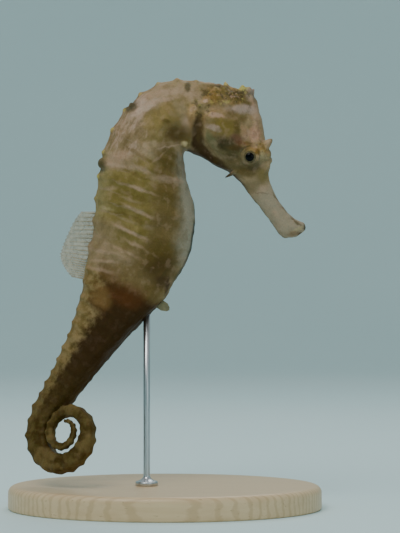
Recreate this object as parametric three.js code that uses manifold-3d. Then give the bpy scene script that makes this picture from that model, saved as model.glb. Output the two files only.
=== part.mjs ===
// A three-spot seahorse, life size, as a still model on a plain display stand.
// Millimetres, +Z up. The animal faces +X with its head bowed, and its right side faces -Y.
// The origin is the middle of the underside of the base.
//
// The body is one loft along its own length. A place on it is a ring number: 0 is the collar
// behind the gill covers, 1 to 11 are the ends of the trunk rings, 12 to 52 those of the tail
// rings, and the head runs from -6 at the lips to 0. Round the body, angle 0 is the middle of
// the belly, a quarter turn is the right side, and a half turn is the middle of the back.
import * as THREE from 'three';
import { mergeVertices } from 'three/addons/utils/BufferGeometryUtils.js';
import Module from 'manifold-3d';

const wasm = await Module();
wasm.setup();

// ---- driving dimensions -------------------------------------------------------------------

const GAP = 0.3;                     // clearance between neighbouring pieces
const TRUNK_RINGS = 11;
const TAIL_RINGS = 41;
const LAST_RING = TRUNK_RINGS + TAIL_RINGS;

// Ring numbers where one piece of the body ends and the next begins.
const LIPS = -6;
const SNOUT_ROOT = -3.2;
const COLLAR = 0;
const NECK_END = 3;
const TRUNK_CUT = 7.5;
const TAIL_CUTS = [TRUNK_RINGS, 14, 18, 22, 27, 32, 37, 43, LAST_RING];

// Side outline of head and trunk: [ring number, back X, back Z, belly X, belly Z, width].
const SECTIONS = [
  [-6.0, 29.9, 58.6, 27.3, 56.6, 2.4],      // lips
  [-5.7, 29.2, 60.0, 24.6, 56.9, 3.9],      // flared end of the snout
  [-5.2, 27.0, 61.2, 22.9, 58.9, 3.6],
  [-4.2, 23.8, 65.2, 20.0, 62.8, 3.6],      // middle of the snout
  [-3.2, 22.0, 69.6, 17.4, 66.1, 4.4],      // root of the snout
  [-2.6, 22.2, 72.9, 15.4, 68.6, 6.0],
  [-2.0, 21.4, 76.5, 13.4, 70.5, 7.4],      // through the eyes
  [-1.3, 20.2, 82.5, 10.6, 71.8, 8.0],      // cheeks
  [-0.7, 18.0, 87.3, 8.0, 73.4, 8.8],       // gill covers
  [-0.35, 13.4, 88.7, 6.2, 74.3, 8.8],
  [0.0, 9.2, 89.6, 4.9, 74.8, 8.4],         // collar
  [2.0, 0.5, 89.8, 4.1, 74.7, 9.0],
  [4.0, -6.9, 85.5, 4.1, 72.9, 10.2],
  [6.0, -12.2, 77.2, 4.7, 69.1, 11.4],
  [8.0, -14.4, 67.4, 6.5, 62.2, 11.8],      // deepest part of the belly
  [9.2, -14.9, 62.0, 6.1, 56.0, 11.4],
  [10.0, -15.4, 57.8, 5.0, 51.9, 10.8],
  [10.6, -16.1, 54.6, 2.5, 47.8, 10.2],
  [11.0, -16.7, 52.3, 0.3, 43.9, 9.8],      // vent
];

// Tail: nearly straight, then a flat spiral towards the belly.
const TAIL_LENGTH = 86;
const TAIL_RING_TAPER = 1.45;        // each ring is shorter than the one before it
const TAIL_HEADING = 244;            // degrees in the XZ plane where the tail leaves the trunk
const TAIL_STRAIGHTENS = 8;          // degrees that it turns back, towards the dorsal side
const TAIL_STRAIGHTENS_OVER = 14;
const CURL_START = 28.5;             // along the tail
const CURL_EASE = 7;                 // length over which the curl takes up its radius
const CURL_OUTER_RADIUS = 8.8;
const CURL_INNER_RADIUS = 2.2;
const CURL_DRIFT = 2.6;              // sideways, from the curl's start to the tip
const TAIL_STEP = 0.25;

// Depth and width of the tail: at the tip, more towards the root, and the root's own flare.
const TAIL_DEPTH = { tip: 1.1, taper: 8.2, flare: 9.6 };
const TAIL_WIDTH = { tip: 1.1, taper: 6.9, flare: 1.8 };
const TAIL_TAPER_POWER = 1.15;
const TAIL_FLARE_LENGTH = 12.2;

// Belly turned towards the right side, in degrees: none at the neck, more down the tail.
const TWIST_TRUNK = 14;
const TWIST_TAIL = 38;
const TWIST_START = 5;                // ring numbers between which the body turns
const TWIST_END = 22;

// Sections: ellipses on the trunk that grow squarer down the tail, narrowed to a keel along
// the belly and to a crest along the top of the head.
const SECTION_POWER = 2.2;
const TAIL_SECTION_POWER = 3.2;
const BELLY_KEEL = 0.42;
const HEAD_CREST = 0.30;
const KEEL_POWER = 1.5;

const RING_SWELL = 0.16;             // a ring's middle stands this far above its joints
const TRUNK_RIDGES = [45, 90, 165];  // degrees from the middle of the belly
const TAIL_RIDGES = [45, 135];
const BACK_SPINE_HEIGHT = 0.48;      // where a ring crosses a ridge
const SIDE_SPINE_HEIGHT = 0.25;

const GILL = { ring: -0.75, halfLength: 0.6, angle: 80, halfAngle: 38, height: 0.45 };

const EYE = { x: 17.75, y: 2.75, z: 73.6, radius: 1.9 };
const EYE_TURRET = { y: 2.05, radius: 2.7 };
const BROW_SPINE = { from: [20.2, 1.9, 75.4], to: [22.6, 2.3, 77.6], radius: 1.35, tip: 0.35 };
const BROW_PLATE = { from: [19.8, 1.4, 74.2], to: [22.5, 1.6, 74.3], radius: 2.0, tip: 1.5 };
const NOSE_SPINE = { from: [20.6, 0, 73.0], to: [22.7, 0, 73.2], radius: 1.4, tip: 0.9 };
const CHEEK_SPINE = { from: [14.6, 2.0, 70.7], to: [12.2, 2.5, 69.3], radius: 0.6, tip: 0 };
const NAPE_SPINE = { from: [12.9, 0, 88.0], to: [12.6, 0, 89.9], radius: 0.9, tip: 0 };
const CORONET = {
  x: 16.7, z: 86.4, lean: 18, radius: 1.85, height: 2.2, points: 5, notch: 0.28, pointHeight: 0.5,
};
const BACK_KNOBS = [                 // under the second and third spot of each side
  { x: -7.0, y: 1.6, z: 84.5, radius: 1.05 },
  { x: -13.2, y: 1.8, z: 72.4, radius: 1.15 },
];

const FIN_THICKNESS = 0.6;
const DORSAL_FIN = { from: 9.1, to: 12.4, height: 6.4, lean: 0.28 };
const ANAL_FIN = { from: 11.15, to: 11.75, height: 2.6, lean: 0.1 };
const FIN_CORNER = 0.1;              // a fin's ends stand lower than its middle, and round off
const FIN_CORNER_POWER = 0.6;
const PECTORAL_FIN = {
  x: 6.3, y: 4.3, z: 80.6, base: 3.6, length: 5.6, heading: 205, spread: 62, flare: 20,
  rounding: 1.2, stand: 0.35,
};

const BASE = { length: 66, width: 48, height: 5, chamfer: 0.8 };
const ROD = { x: -3.8, y: -1.6, radius: 0.7, footRadius: 2.4, footHeight: 1.6, top: 44 };

// Facets round the body and round the thinner pieces.
const BODY_SIDES = 24;
const THIN_SIDES = 16;
const BASE_SIDES = 64;

const PINKISH = 0xb99a8c;
const OLIVE = 0xa8925e;
const DARK_OLIVE = 0x7d6b42;
const FIN_TONE = 0xc9b59b;
const EYE_BLACK = 0x15110f;
const PALE_WOOD = 0xc8b08a;
const STEEL = 0xb8bcc0;

// ---- small helpers ------------------------------------------------------------------------

const radians = THREE.MathUtils.degToRad;
const ease = THREE.MathUtils.smoothstep;

// Smooth value of one column of a table whose first column rises, at a place between rows.
function along(table, place, column) {
  let i = 0;
  while (i < table.length - 2 && place > table[i + 1][0]) i += 1;
  const slope = (k) => {
    const before = table[Math.max(k - 1, 0)];
    const after = table[Math.min(k + 1, table.length - 1)];
    return (after[column] - before[column]) / (after[0] - before[0]);
  };
  const span = table[i + 1][0] - table[i][0];
  const t = (place - table[i][0]) / span;
  const t2 = t * t;
  const t3 = t2 * t;
  return (2 * t3 - 3 * t2 + 1) * table[i][column] + (3 * t2 - 2 * t3) * table[i + 1][column]
    + span * ((t3 - 2 * t2 + t) * slope(i) + (t3 - t2) * slope(i + 1));
}

// ---- the body's frames --------------------------------------------------------------------

function twistAt(ring) {
  return radians(TWIST_TRUNK * ease(ring, TWIST_START, TRUNK_RINGS)
    + (TWIST_TAIL - TWIST_TRUNK) * ease(ring, TRUNK_RINGS, TWIST_END));
}

// Axes of a section: tailward, belly and right, from a heading in the XZ plane and a twist.
function axesFrom(heading, twist) {
  const tailward = new THREE.Vector3(Math.cos(heading), 0, Math.sin(heading));
  const belly = new THREE.Vector3(-Math.sin(heading), 0, Math.cos(heading));
  const right = new THREE.Vector3(0, -1, 0);
  belly.applyAxisAngle(tailward, twist);
  right.applyAxisAngle(tailward, twist);
  return { tailward, belly, right };
}

function tailDistance(ring) {
  const left = Math.max(0, 1 - (ring - TRUNK_RINGS) / TAIL_RINGS);
  return TAIL_LENGTH * (1 - left ** TAIL_RING_TAPER);
}

function ringAtDistance(distance) {
  return TRUNK_RINGS + TAIL_RINGS * (1 - (1 - distance / TAIL_LENGTH) ** (1 / TAIL_RING_TAPER));
}

// Bend per millimetre towards the belly.
function tailBend(distance) {
  const back = -radians(TAIL_STRAIGHTENS) / TAIL_STRAIGHTENS_OVER
    * Math.exp(-distance / TAIL_STRAIGHTENS_OVER);
  const part = Math.max(0, distance - CURL_START) / (TAIL_LENGTH - CURL_START);
  const radius = THREE.MathUtils.lerp(CURL_OUTER_RADIUS, CURL_INNER_RADIUS, part);
  return back + ease(distance, CURL_START, CURL_START + CURL_EASE) / radius;
}

// The tail's frames, walked in short steps from the vent to the tip.
function walkTail() {
  const [, backX, backZ, bellyX, bellyZ] = SECTIONS[SECTIONS.length - 1];
  const place = new THREE.Vector3((backX + bellyX) / 2, 0, (backZ + bellyZ) / 2);
  const axes = axesFrom(radians(TAIL_HEADING), twistAt(TRUNK_RINGS));
  const frames = [];
  for (let distance = 0; distance <= TAIL_LENGTH; distance += TAIL_STEP) {
    frames.push({
      centre: place.clone(),
      tailward: axes.tailward.clone(),
      belly: axes.belly.clone(),
      right: axes.right.clone(),
    });
    const bend = tailBend(distance) * TAIL_STEP;
    axes.tailward.applyAxisAngle(axes.right, bend);
    axes.belly.applyAxisAngle(axes.right, bend);
    const turn = twistAt(ringAtDistance(Math.min(distance + TAIL_STEP, TAIL_LENGTH)))
      - twistAt(ringAtDistance(distance));
    axes.belly.applyAxisAngle(axes.tailward, turn);
    axes.right.applyAxisAngle(axes.tailward, turn);
    place.addScaledVector(axes.tailward, TAIL_STEP);
    if (distance > CURL_START) {
      place.addScaledVector(axes.right, CURL_DRIFT * TAIL_STEP / (TAIL_LENGTH - CURL_START));
    }
  }
  return frames;
}

const tailFrames = walkTail();

function tailFrameAt(ring) {
  const distance = tailDistance(ring);
  const at = distance / TAIL_STEP;
  const first = tailFrames[Math.min(Math.floor(at), tailFrames.length - 1)];
  const next = tailFrames[Math.min(Math.floor(at) + 1, tailFrames.length - 1)];
  const part = at - Math.floor(at);
  const taper = (1 - distance / TAIL_LENGTH) ** TAIL_TAPER_POWER;
  const flare = Math.exp(-((distance / TAIL_FLARE_LENGTH) ** TAIL_TAPER_POWER));
  const sized = (size) => size.tip + size.taper * taper + size.flare * flare;
  return {
    centre: first.centre.clone().lerp(next.centre, part),
    tailward: first.tailward.clone().lerp(next.tailward, part).normalize(),
    belly: first.belly.clone().lerp(next.belly, part).normalize(),
    right: first.right.clone().lerp(next.right, part).normalize(),
    depth: sized(TAIL_DEPTH),
    width: sized(TAIL_WIDTH),
  };
}

function frameAt(ring) {
  if (ring > TRUNK_RINGS) return tailFrameAt(ring);
  const back = new THREE.Vector3(along(SECTIONS, ring, 1), 0, along(SECTIONS, ring, 2));
  const belly = new THREE.Vector3(along(SECTIONS, ring, 3), 0, along(SECTIONS, ring, 4));
  const across = belly.clone().sub(back);
  return {
    centre: back.add(belly).multiplyScalar(0.5),
    ...axesFrom(Math.atan2(-across.x, across.z), twistAt(ring)),
    depth: across.length(),
    width: along(SECTIONS, ring, 5),
  };
}

// ---- the body's surface -------------------------------------------------------------------

// 1 in the middle of a ring and 0 at its joints. The head has no rings.
function ringWave(ring) {
  return ring <= 0 ? 0 : Math.sin(Math.PI * (ring - Math.floor(ring))) ** 2;
}

// Height of the blunt spines where a ring crosses a ridge, taller on the back.
function spineHeight(ring, angle) {
  const ridges = ring > TRUNK_RINGS ? TAIL_RIDGES : TRUNK_RIDGES;
  const nearest = Math.min(...ridges.map((ridge) => Math.abs(ridge - angle)));
  if (nearest > 1) return 0;
  const onBack = angle > 120;
  const size = Math.min(1, 1.25 - ring / LAST_RING);
  const inThroat = onBack ? 1 : ease(ring, 3, 6);
  return (onBack ? BACK_SPINE_HEIGHT : SIDE_SPINE_HEIGHT) * size * inThroat * ringWave(ring);
}

// Swell of the gill cover on each side of the head.
function gillSwell(ring, angle) {
  const lengthwise = (ring - GILL.ring) / GILL.halfLength;
  const round = (angle - GILL.angle) / GILL.halfAngle;
  return GILL.height * Math.max(0, 1 - lengthwise ** 2 - round ** 2);
}

// Place on the skin, or inside it where reach is under 1.
function bodyPoint(frame, ring, angle, reach, grow) {
  const power = SECTION_POWER + (TAIL_SECTION_POWER - SECTION_POWER) * ease(ring, 8, 14);
  const round = Math.abs(Math.cos(angle)) ** power + Math.abs(Math.sin(angle)) ** power;
  const radius = round ** (-1 / power);
  const u = Math.cos(angle) * radius;
  const keel = BELLY_KEEL * ease(ring, 0.5, 3) * (1 - ease(ring, 9.5, 12.5));
  const crest = HEAD_CREST * ease(ring, -3, -1.5) * (1 - ease(ring, 0, 2));
  const narrow = 1 - keel * Math.max(0, u) ** KEEL_POWER - crest * Math.max(0, -u) ** KEEL_POWER;
  const v = Math.sin(angle) * radius * narrow;
  const fold = Math.abs(THREE.MathUtils.radToDeg(angle));
  const lift = RING_SWELL * (ringWave(ring) - 0.5) * (ring > 0 ? 1 : 0)
    + spineHeight(ring, fold) + gillSwell(ring, fold) + grow;
  const halfDepth = (frame.depth / 2 + lift) * reach;
  const halfWidth = (frame.width / 2 + lift) * reach;
  return frame.centre.clone()
    .addScaledVector(frame.belly, u * halfDepth)
    .addScaledVector(frame.right, v * halfWidth);
}

// A closed length of the body between two ring numbers, `rows` bands long. Each end is set back
// by half the gap, square to its own section, so that neighbours face each other across it.
function bodyLength(from, to, rows, around, grow = 0) {
  const geometry = new THREE.CylinderGeometry(1, 1, 1, around, rows);
  const position = geometry.attributes.position;
  for (let i = 0; i < position.count; i += 1) {
    const x = position.getX(i);
    const z = position.getZ(i);
    const part = 0.5 - position.getY(i);
    const ring = THREE.MathUtils.lerp(from, to, part);
    const frame = frameAt(ring);
    const point = bodyPoint(frame, ring, Math.atan2(-x, z), Math.hypot(x, z), grow);
    const setBack = (part < 0.001 ? GAP / 2 : 0) - (part > 0.999 ? GAP / 2 : 0);
    point.addScaledVector(frame.tailward, setBack);
    position.setXYZ(i, point.x, point.y, point.z);
  }
  return geometry;
}

// ---- joining and cutting ------------------------------------------------------------------

function welded(geometry) {
  geometry.deleteAttribute('normal');
  geometry.deleteAttribute('uv');
  return mergeVertices(geometry, 1e-4);
}

function solidFrom(geometry) {
  const clean = welded(geometry);
  return new wasm.Manifold(new wasm.Mesh({
    numProp: 3,
    vertProperties: new Float32Array(clean.attributes.position.array),
    triVerts: new Uint32Array(clean.index.array),
  }));
}

function geometryFrom(solid) {
  const { vertProperties, triVerts } = solid.getMesh();
  const geometry = new THREE.BufferGeometry();
  geometry.setAttribute('position', new THREE.BufferAttribute(vertProperties, 3));
  geometry.setIndex(new THREE.BufferAttribute(triVerts, 1));
  geometry.computeVertexNormals();
  return geometry;
}

function ball(x, y, z, radius) {
  const geometry = new THREE.SphereGeometry(radius, THIN_SIDES, 10);
  geometry.rotateX(Math.PI / 2);
  return geometry.translate(x, y, z);
}

// A cone, or a stump with a flat tip, from its foot inside the head.
function spine({ from, to, radius, tip }, side) {
  const foot = new THREE.Vector3(from[0], from[1] * side, from[2]);
  const end = new THREE.Vector3(to[0], to[1] * side, to[2]);
  const direction = end.clone().sub(foot);
  const geometry = new THREE.CylinderGeometry(tip, radius, direction.length(), 8);
  const turn = new THREE.Quaternion().setFromUnitVectors(
    new THREE.Vector3(0, 1, 0), direction.clone().normalize());
  geometry.applyQuaternion(turn);
  const middle = foot.add(end).multiplyScalar(0.5);
  return geometry.translate(middle.x, middle.y, middle.z);
}

// ---- the pieces ---------------------------------------------------------------------------

const group = new THREE.Group();

function add(name, geometry, colour, roughness, metalness = 0) {
  const material = new THREE.MeshStandardMaterial({ color: colour, roughness, metalness });
  const mesh = new THREE.Mesh(geometry, material);
  mesh.name = name;
  group.add(mesh);
}

function addSkinned(name, geometry, colour) {
  add(name, welded(geometry), colour, 0.6);
}

function headSolid() {
  let head = solidFrom(bodyLength(SNOUT_ROOT, COLLAR, 12, BODY_SIDES));
  head = head.add(solidFrom(spine(NOSE_SPINE, 1)));
  head = head.add(solidFrom(spine(NAPE_SPINE, 1)));
  for (const side of [-1, 1]) {
    head = head.add(solidFrom(ball(EYE.x, EYE_TURRET.y * side, EYE.z, EYE_TURRET.radius)));
    for (const shape of [BROW_SPINE, BROW_PLATE, CHEEK_SPINE]) {
      head = head.add(solidFrom(spine(shape, side)));
    }
    head = head.subtract(solidFrom(ball(EYE.x, EYE.y * side, EYE.z, EYE.radius + GAP)));
  }
  return head;
}

function trunkUpperSolid() {
  const rows = 2 * (TRUNK_CUT - NECK_END);
  let trunk = solidFrom(bodyLength(NECK_END, TRUNK_CUT, rows, BODY_SIDES));
  for (const { x, y, z, radius } of BACK_KNOBS) {
    for (const side of [-1, 1]) trunk = trunk.add(solidFrom(ball(x, y * side, z, radius)));
  }
  return trunk;
}

// A low crown whose rim has blunt points.
function coronetSolid() {
  const { radius, height, points, notch, pointHeight } = CORONET;
  const geometry = new THREE.CylinderGeometry(1, 1, height, 2 * points, 1);
  const position = geometry.attributes.position;
  for (let i = 0; i < position.count; i += 1) {
    const turn = Math.atan2(position.getX(i), position.getZ(i));
    const rim = Math.hypot(position.getX(i), position.getZ(i));
    const point = 0.5 + 0.5 * Math.cos(points * turn);
    const top = position.getY(i) > 0;
    const reach = top ? radius * (1 - notch * (1 - point)) : radius;
    const rise = top ? pointHeight * point * rim : 0;
    position.setXYZ(i, reach * rim * Math.sin(turn), position.getY(i) + rise,
      reach * rim * Math.cos(turn));
  }
  geometry.translate(0, height / 2, 0);
  geometry.rotateX(Math.PI / 2);
  geometry.rotateY(radians(CORONET.lean));
  geometry.translate(CORONET.x, 0, CORONET.z);
  return solidFrom(geometry)
    .subtract(solidFrom(bodyLength(SNOUT_ROOT, COLLAR, 12, BODY_SIDES, GAP)));
}

// A fin in the middle plane, standing on the back (side -1) or on the belly (side 1).
function medianFin({ from, to, height, lean }, side, rays) {
  const geometry = new THREE.BoxGeometry(1, 1, 1, rays, 2, 1);
  const position = geometry.attributes.position;
  for (let i = 0; i < position.count; i += 1) {
    const t = position.getX(i) + 0.5;
    const rise = position.getY(i) + 0.5;
    const ring = THREE.MathUtils.lerp(from, to, t);
    const frame = frameAt(ring);
    const swell = Math.sin(Math.PI * (FIN_CORNER + (1 - 2 * FIN_CORNER) * t));
    const tall = height * swell ** FIN_CORNER_POWER * rise;
    const clear = GAP + RING_SWELL / 2;
    const point = frame.centre.clone()
      .addScaledVector(frame.belly, side * (frame.depth / 2 + clear + tall))
      .addScaledVector(frame.tailward, lean * tall)
      .addScaledVector(frame.right, side * position.getZ(i) * FIN_THICKNESS);
    position.setXYZ(i, point.x, point.y, point.z);
  }
  return geometry;
}

// A fan behind the gill cover, on the right (side 1) or the left (side -1). Its rays spread
// from a short upright base and stand a little away from the body.
function pectoralFin(side) {
  const { x, y, z, base, length, heading, spread, flare, rounding, stand } = PECTORAL_FIN;
  const geometry = new THREE.BoxGeometry(1, 1, 1, 8, 2, 1);
  const position = geometry.attributes.position;
  for (let i = 0; i < position.count; i += 1) {
    const t = position.getX(i);
    const out = (position.getY(i) + 0.5) * length * (1 - rounding * t * t);
    const turn = radians(heading + t * spread);
    const across = y + stand + FIN_THICKNESS / 2 + out * Math.sin(radians(flare))
      + position.getZ(i) * FIN_THICKNESS;
    const reach = out * Math.cos(radians(flare));
    position.setXYZ(i,
      x + base * t / 4 + reach * Math.cos(turn),
      -side * across,
      z - base * t + reach * Math.sin(turn));
  }
  if (side > 0) geometry.index.array.reverse();
  return geometry;
}

function standBase() {
  const radius = BASE.length / 2;
  const profile = [
    new THREE.Vector2(0, 0),
    new THREE.Vector2(radius, 0),
    new THREE.Vector2(radius, BASE.height - BASE.chamfer),
    new THREE.Vector2(radius - BASE.chamfer, BASE.height),
    new THREE.Vector2(0, BASE.height),
  ];
  const geometry = new THREE.LatheGeometry(profile, BASE_SIDES);
  geometry.rotateX(Math.PI / 2);
  return geometry.scale(1, BASE.width / BASE.length, 1);
}

// The rod stands on a small turned foot, and its top is cut to the underside of the body.
function standRod() {
  const bottom = BASE.height + GAP;
  const profile = [
    new THREE.Vector2(0, bottom),
    new THREE.Vector2(ROD.footRadius, bottom),
    new THREE.Vector2(ROD.footRadius, bottom + ROD.footHeight / 2),
    new THREE.Vector2(ROD.radius, bottom + ROD.footHeight),
    new THREE.Vector2(ROD.radius, ROD.top),
    new THREE.Vector2(0, ROD.top),
  ];
  const geometry = new THREE.LatheGeometry(profile, THIN_SIDES);
  geometry.rotateX(Math.PI / 2);
  geometry.translate(ROD.x, ROD.y, 0);
  return solidFrom(geometry).subtract(solidFrom(bodyLength(9, 16, 14, BODY_SIDES, GAP)));
}

add('head', geometryFrom(headSolid()), PINKISH, 0.6);
add('coronet', geometryFrom(coronetSolid()), PINKISH, 0.6);
addSkinned('snout', bodyLength(LIPS, SNOUT_ROOT, 14, THIN_SIDES), PINKISH);
for (const [name, side] of [['right', 1], ['left', -1]]) {
  add(`eye_${name}`, welded(ball(EYE.x, -EYE.y * side, EYE.z, EYE.radius)), EYE_BLACK, 0.1);
  addSkinned(`pectoral_fin_${name}`, pectoralFin(side), FIN_TONE);
}

addSkinned('neck', bodyLength(COLLAR, NECK_END, 6, BODY_SIDES), PINKISH);
add('trunk_upper', geometryFrom(trunkUpperSolid()), OLIVE, 0.6);
addSkinned('trunk_lower', bodyLength(TRUNK_CUT, TRUNK_RINGS, 7, BODY_SIDES), OLIVE);

for (let i = 0; i < TAIL_CUTS.length - 1; i += 1) {
  const rows = 2 * (TAIL_CUTS[i + 1] - TAIL_CUTS[i]);
  const sides = i === 0 ? BODY_SIDES : THIN_SIDES;
  addSkinned(`tail_${i + 1}`, bodyLength(TAIL_CUTS[i], TAIL_CUTS[i + 1], rows, sides), DARK_OLIVE);
}

addSkinned('dorsal_fin', medianFin(DORSAL_FIN, -1, 12), FIN_TONE);
addSkinned('anal_fin', medianFin(ANAL_FIN, 1, 4), FIN_TONE);
add('stand_base', welded(standBase()), PALE_WOOD, 0.55);
add('stand_rod', geometryFrom(standRod()), STEEL, 0.3, 1);

export default group;
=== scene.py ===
# A three-spot seahorse, life size, on a plain display stand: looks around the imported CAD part.
#
# Lengths are in millimetres until a mesh is made. The animal faces +X, its right side faces -Y.
# A place on the body is a ring number and an angle, as in the CAD part: the head runs from -6 at
# the lips to 0 at the collar, 1 to 11 are the ends of the trunk rings, 12 to 52 those of the tail
# rings. Angle 0 is the middle of the belly, 90 the right side, 180 the middle of the back.
import math

import bpy
import numpy as np
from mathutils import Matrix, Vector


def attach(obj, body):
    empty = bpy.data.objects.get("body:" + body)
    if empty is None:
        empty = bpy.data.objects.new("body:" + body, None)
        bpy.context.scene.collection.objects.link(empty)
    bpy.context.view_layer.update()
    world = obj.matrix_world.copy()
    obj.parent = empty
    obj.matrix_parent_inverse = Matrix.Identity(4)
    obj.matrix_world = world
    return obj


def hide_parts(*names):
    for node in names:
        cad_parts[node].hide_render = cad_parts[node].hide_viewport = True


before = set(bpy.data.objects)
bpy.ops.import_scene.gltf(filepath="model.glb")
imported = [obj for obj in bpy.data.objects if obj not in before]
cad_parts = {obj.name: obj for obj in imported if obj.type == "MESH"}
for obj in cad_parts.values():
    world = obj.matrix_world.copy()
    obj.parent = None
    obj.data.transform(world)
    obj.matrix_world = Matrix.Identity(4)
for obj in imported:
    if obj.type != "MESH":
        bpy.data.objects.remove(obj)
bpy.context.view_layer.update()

MM = 0.001

# ---- the body's size and pose, as in the CAD part -------------------------------------------

TRUNK_RINGS = 11
TAIL_RINGS = 41
LAST_RING = TRUNK_RINGS + TAIL_RINGS

# Ring number, back X, back Z, belly X, belly Z, width.
SECTIONS = np.array([
    (-6.0, 29.9, 58.6, 27.3, 56.6, 2.4),
    (-5.7, 29.2, 60.0, 24.6, 56.9, 3.9),
    (-5.2, 27.0, 61.2, 22.9, 58.9, 3.6),
    (-4.2, 23.8, 65.2, 20.0, 62.8, 3.6),
    (-3.2, 22.0, 69.6, 17.4, 66.1, 4.4),
    (-2.6, 22.2, 72.9, 15.4, 68.6, 6.0),
    (-2.0, 21.4, 76.5, 13.4, 70.5, 7.4),
    (-1.3, 20.2, 82.5, 10.6, 71.8, 8.0),
    (-0.7, 18.0, 87.3, 8.0, 73.4, 8.8),
    (-0.35, 13.4, 88.7, 6.2, 74.3, 8.8),
    (0.0, 9.2, 89.6, 4.9, 74.8, 8.4),
    (2.0, 0.5, 89.8, 4.1, 74.7, 9.0),
    (4.0, -6.9, 85.5, 4.1, 72.9, 10.2),
    (6.0, -12.2, 77.2, 4.7, 69.1, 11.4),
    (8.0, -14.4, 67.4, 6.5, 62.2, 11.8),
    (9.2, -14.9, 62.0, 6.1, 56.0, 11.4),
    (10.0, -15.4, 57.8, 5.0, 51.9, 10.8),
    (10.6, -16.1, 54.6, 2.5, 47.8, 10.2),
    (11.0, -16.7, 52.3, 0.3, 43.9, 9.8),
])

TAIL_LENGTH = 86
TAIL_RING_TAPER = 1.45
TAIL_HEADING = 244
TAIL_STRAIGHTENS = 8
TAIL_STRAIGHTENS_OVER = 14
CURL_START = 28.5
CURL_EASE = 7
CURL_OUTER_RADIUS = 8.8
CURL_INNER_RADIUS = 2.2
CURL_DRIFT = 2.6
TAIL_STEP = 0.25

# Size of the tail at its tip, what its taper adds, and what the flare at its root adds.
TAIL_DEPTH = {"tip": 1.1, "taper": 8.2, "flare": 9.6}
TAIL_WIDTH = {"tip": 1.1, "taper": 6.9, "flare": 1.8}
TAIL_TAPER_POWER = 1.15
TAIL_FLARE_LENGTH = 12.2

# The lower trunk and the tail turn to the right: degrees, and the rings between which they turn.
TWIST_TRUNK = 14
TWIST_TAIL = 38
TWIST_START = 5
TWIST_END = 22

SECTION_POWER = 2.2                  # 2 is an ellipse, more is squarer
TAIL_SECTION_POWER = 3.2
SQUARE_OVER = (8, 14)                # rings over which the section turns from one to the other

# How much the section narrows at its edge, and the rings over which that starts and ends.
BELLY_KEEL = {"narrow": 0.42, "starts": (0.5, 3), "ends": (9.5, 12.5)}
HEAD_CREST = {"narrow": 0.3, "starts": (-3, -1.5), "ends": (0, 2)}
KEEL_POWER = 1.5

SKIN_INSET = 0.15                    # the skin lies this far inside the CAD solids

EYE = {"x": 17.75, "y": 2.75, "z": 73.6, "radius": 1.9}
CORONET = {"x": 16.7, "z": 86.4, "lean": 18, "radius": 1.65, "height": 2.2, "points": 5,
           "root": 1.5, "reach": 2.6, "rim_inset": 0.3, "rim_width": 0.4, "rim_height": 0.26,
           "dip": 0.2, "dip_radius": 0.6, "blend": 0.2}

ROD = {"x": -3.8, "y": -1.6, "radius": 0.7, "foot_radius": 2.4, "top": 44,
       "foot_height": 0.95, "foot_round": 0.35, "fillet_radius": 1.8, "fillet_height": 1.1}
BASE = {"length": 66, "width": 48, "height": 5, "low_round": 0.5, "top_round": 1.5}


# ---- small helpers --------------------------------------------------------------------------

def smoothstep(value, low, high):
    t = np.clip((value - low) / (high - low), 0, 1)
    return t * t * (3 - 2 * t)


def bell(value, width):
    return np.exp(-(value / width) ** 2)


def normalised(vectors):
    return vectors / np.linalg.norm(vectors, axis=-1, keepdims=True)


def turned(vector, axis, angle):
    """A vector turned about a unit axis, by an angle in radians."""
    c, s = math.cos(angle), math.sin(angle)
    return vector * c + np.cross(axis, vector) * s + axis * np.dot(axis, vector) * (1 - c)


def smooth_max(a, b, blend):
    """The larger of two heights, with the corner between them rounded over a blend."""
    h = np.clip(0.5 + 0.5 * (a - b) / blend, 0, 1)
    return b + (a - b) * h + blend * h * (1 - h)


def along(ring, column):
    """Smooth value of one column of SECTIONS at ring numbers up to the vent."""
    rings, values = SECTIONS[:, 0], SECTIONS[:, column]
    last = len(rings) - 1
    i = np.clip(np.searchsorted(rings, ring, side="left") - 1, 0, last - 1)
    before = np.maximum(np.arange(last + 1) - 1, 0)
    after = np.minimum(np.arange(last + 1) + 1, last)
    slope = (values[after] - values[before]) / (rings[after] - rings[before])
    span = rings[i + 1] - rings[i]
    t = (ring - rings[i]) / span
    t2, t3 = t * t, t * t * t
    return ((2 * t3 - 3 * t2 + 1) * values[i] + (3 * t2 - 2 * t3) * values[i + 1]
            + span * ((t3 - 2 * t2 + t) * slope[i] + (t3 - t2) * slope[i + 1]))


# ---- the body's frames ----------------------------------------------------------------------

def twist_at(ring):
    in_tail = (TWIST_TAIL - TWIST_TRUNK) * smoothstep(ring, TRUNK_RINGS, TWIST_END)
    return np.radians(TWIST_TRUNK * smoothstep(ring, TWIST_START, TRUNK_RINGS) + in_tail)


def axes_from(heading, twist):
    """Tailward, belly and right axes of one section."""
    tailward = np.array((math.cos(heading), 0, math.sin(heading)))
    belly = np.array((-math.sin(heading), 0, math.cos(heading)))
    right = np.array((0, -1.0, 0))
    return tailward, turned(belly, tailward, twist), turned(right, tailward, twist)


def tail_distance(ring):
    left = np.maximum(0, 1 - (ring - TRUNK_RINGS) / TAIL_RINGS)
    return TAIL_LENGTH * (1 - left ** TAIL_RING_TAPER)


def ring_at_distance(distance):
    left = 1 - distance / TAIL_LENGTH
    return TRUNK_RINGS + TAIL_RINGS * (1 - max(left, 0) ** (1 / TAIL_RING_TAPER))


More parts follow.
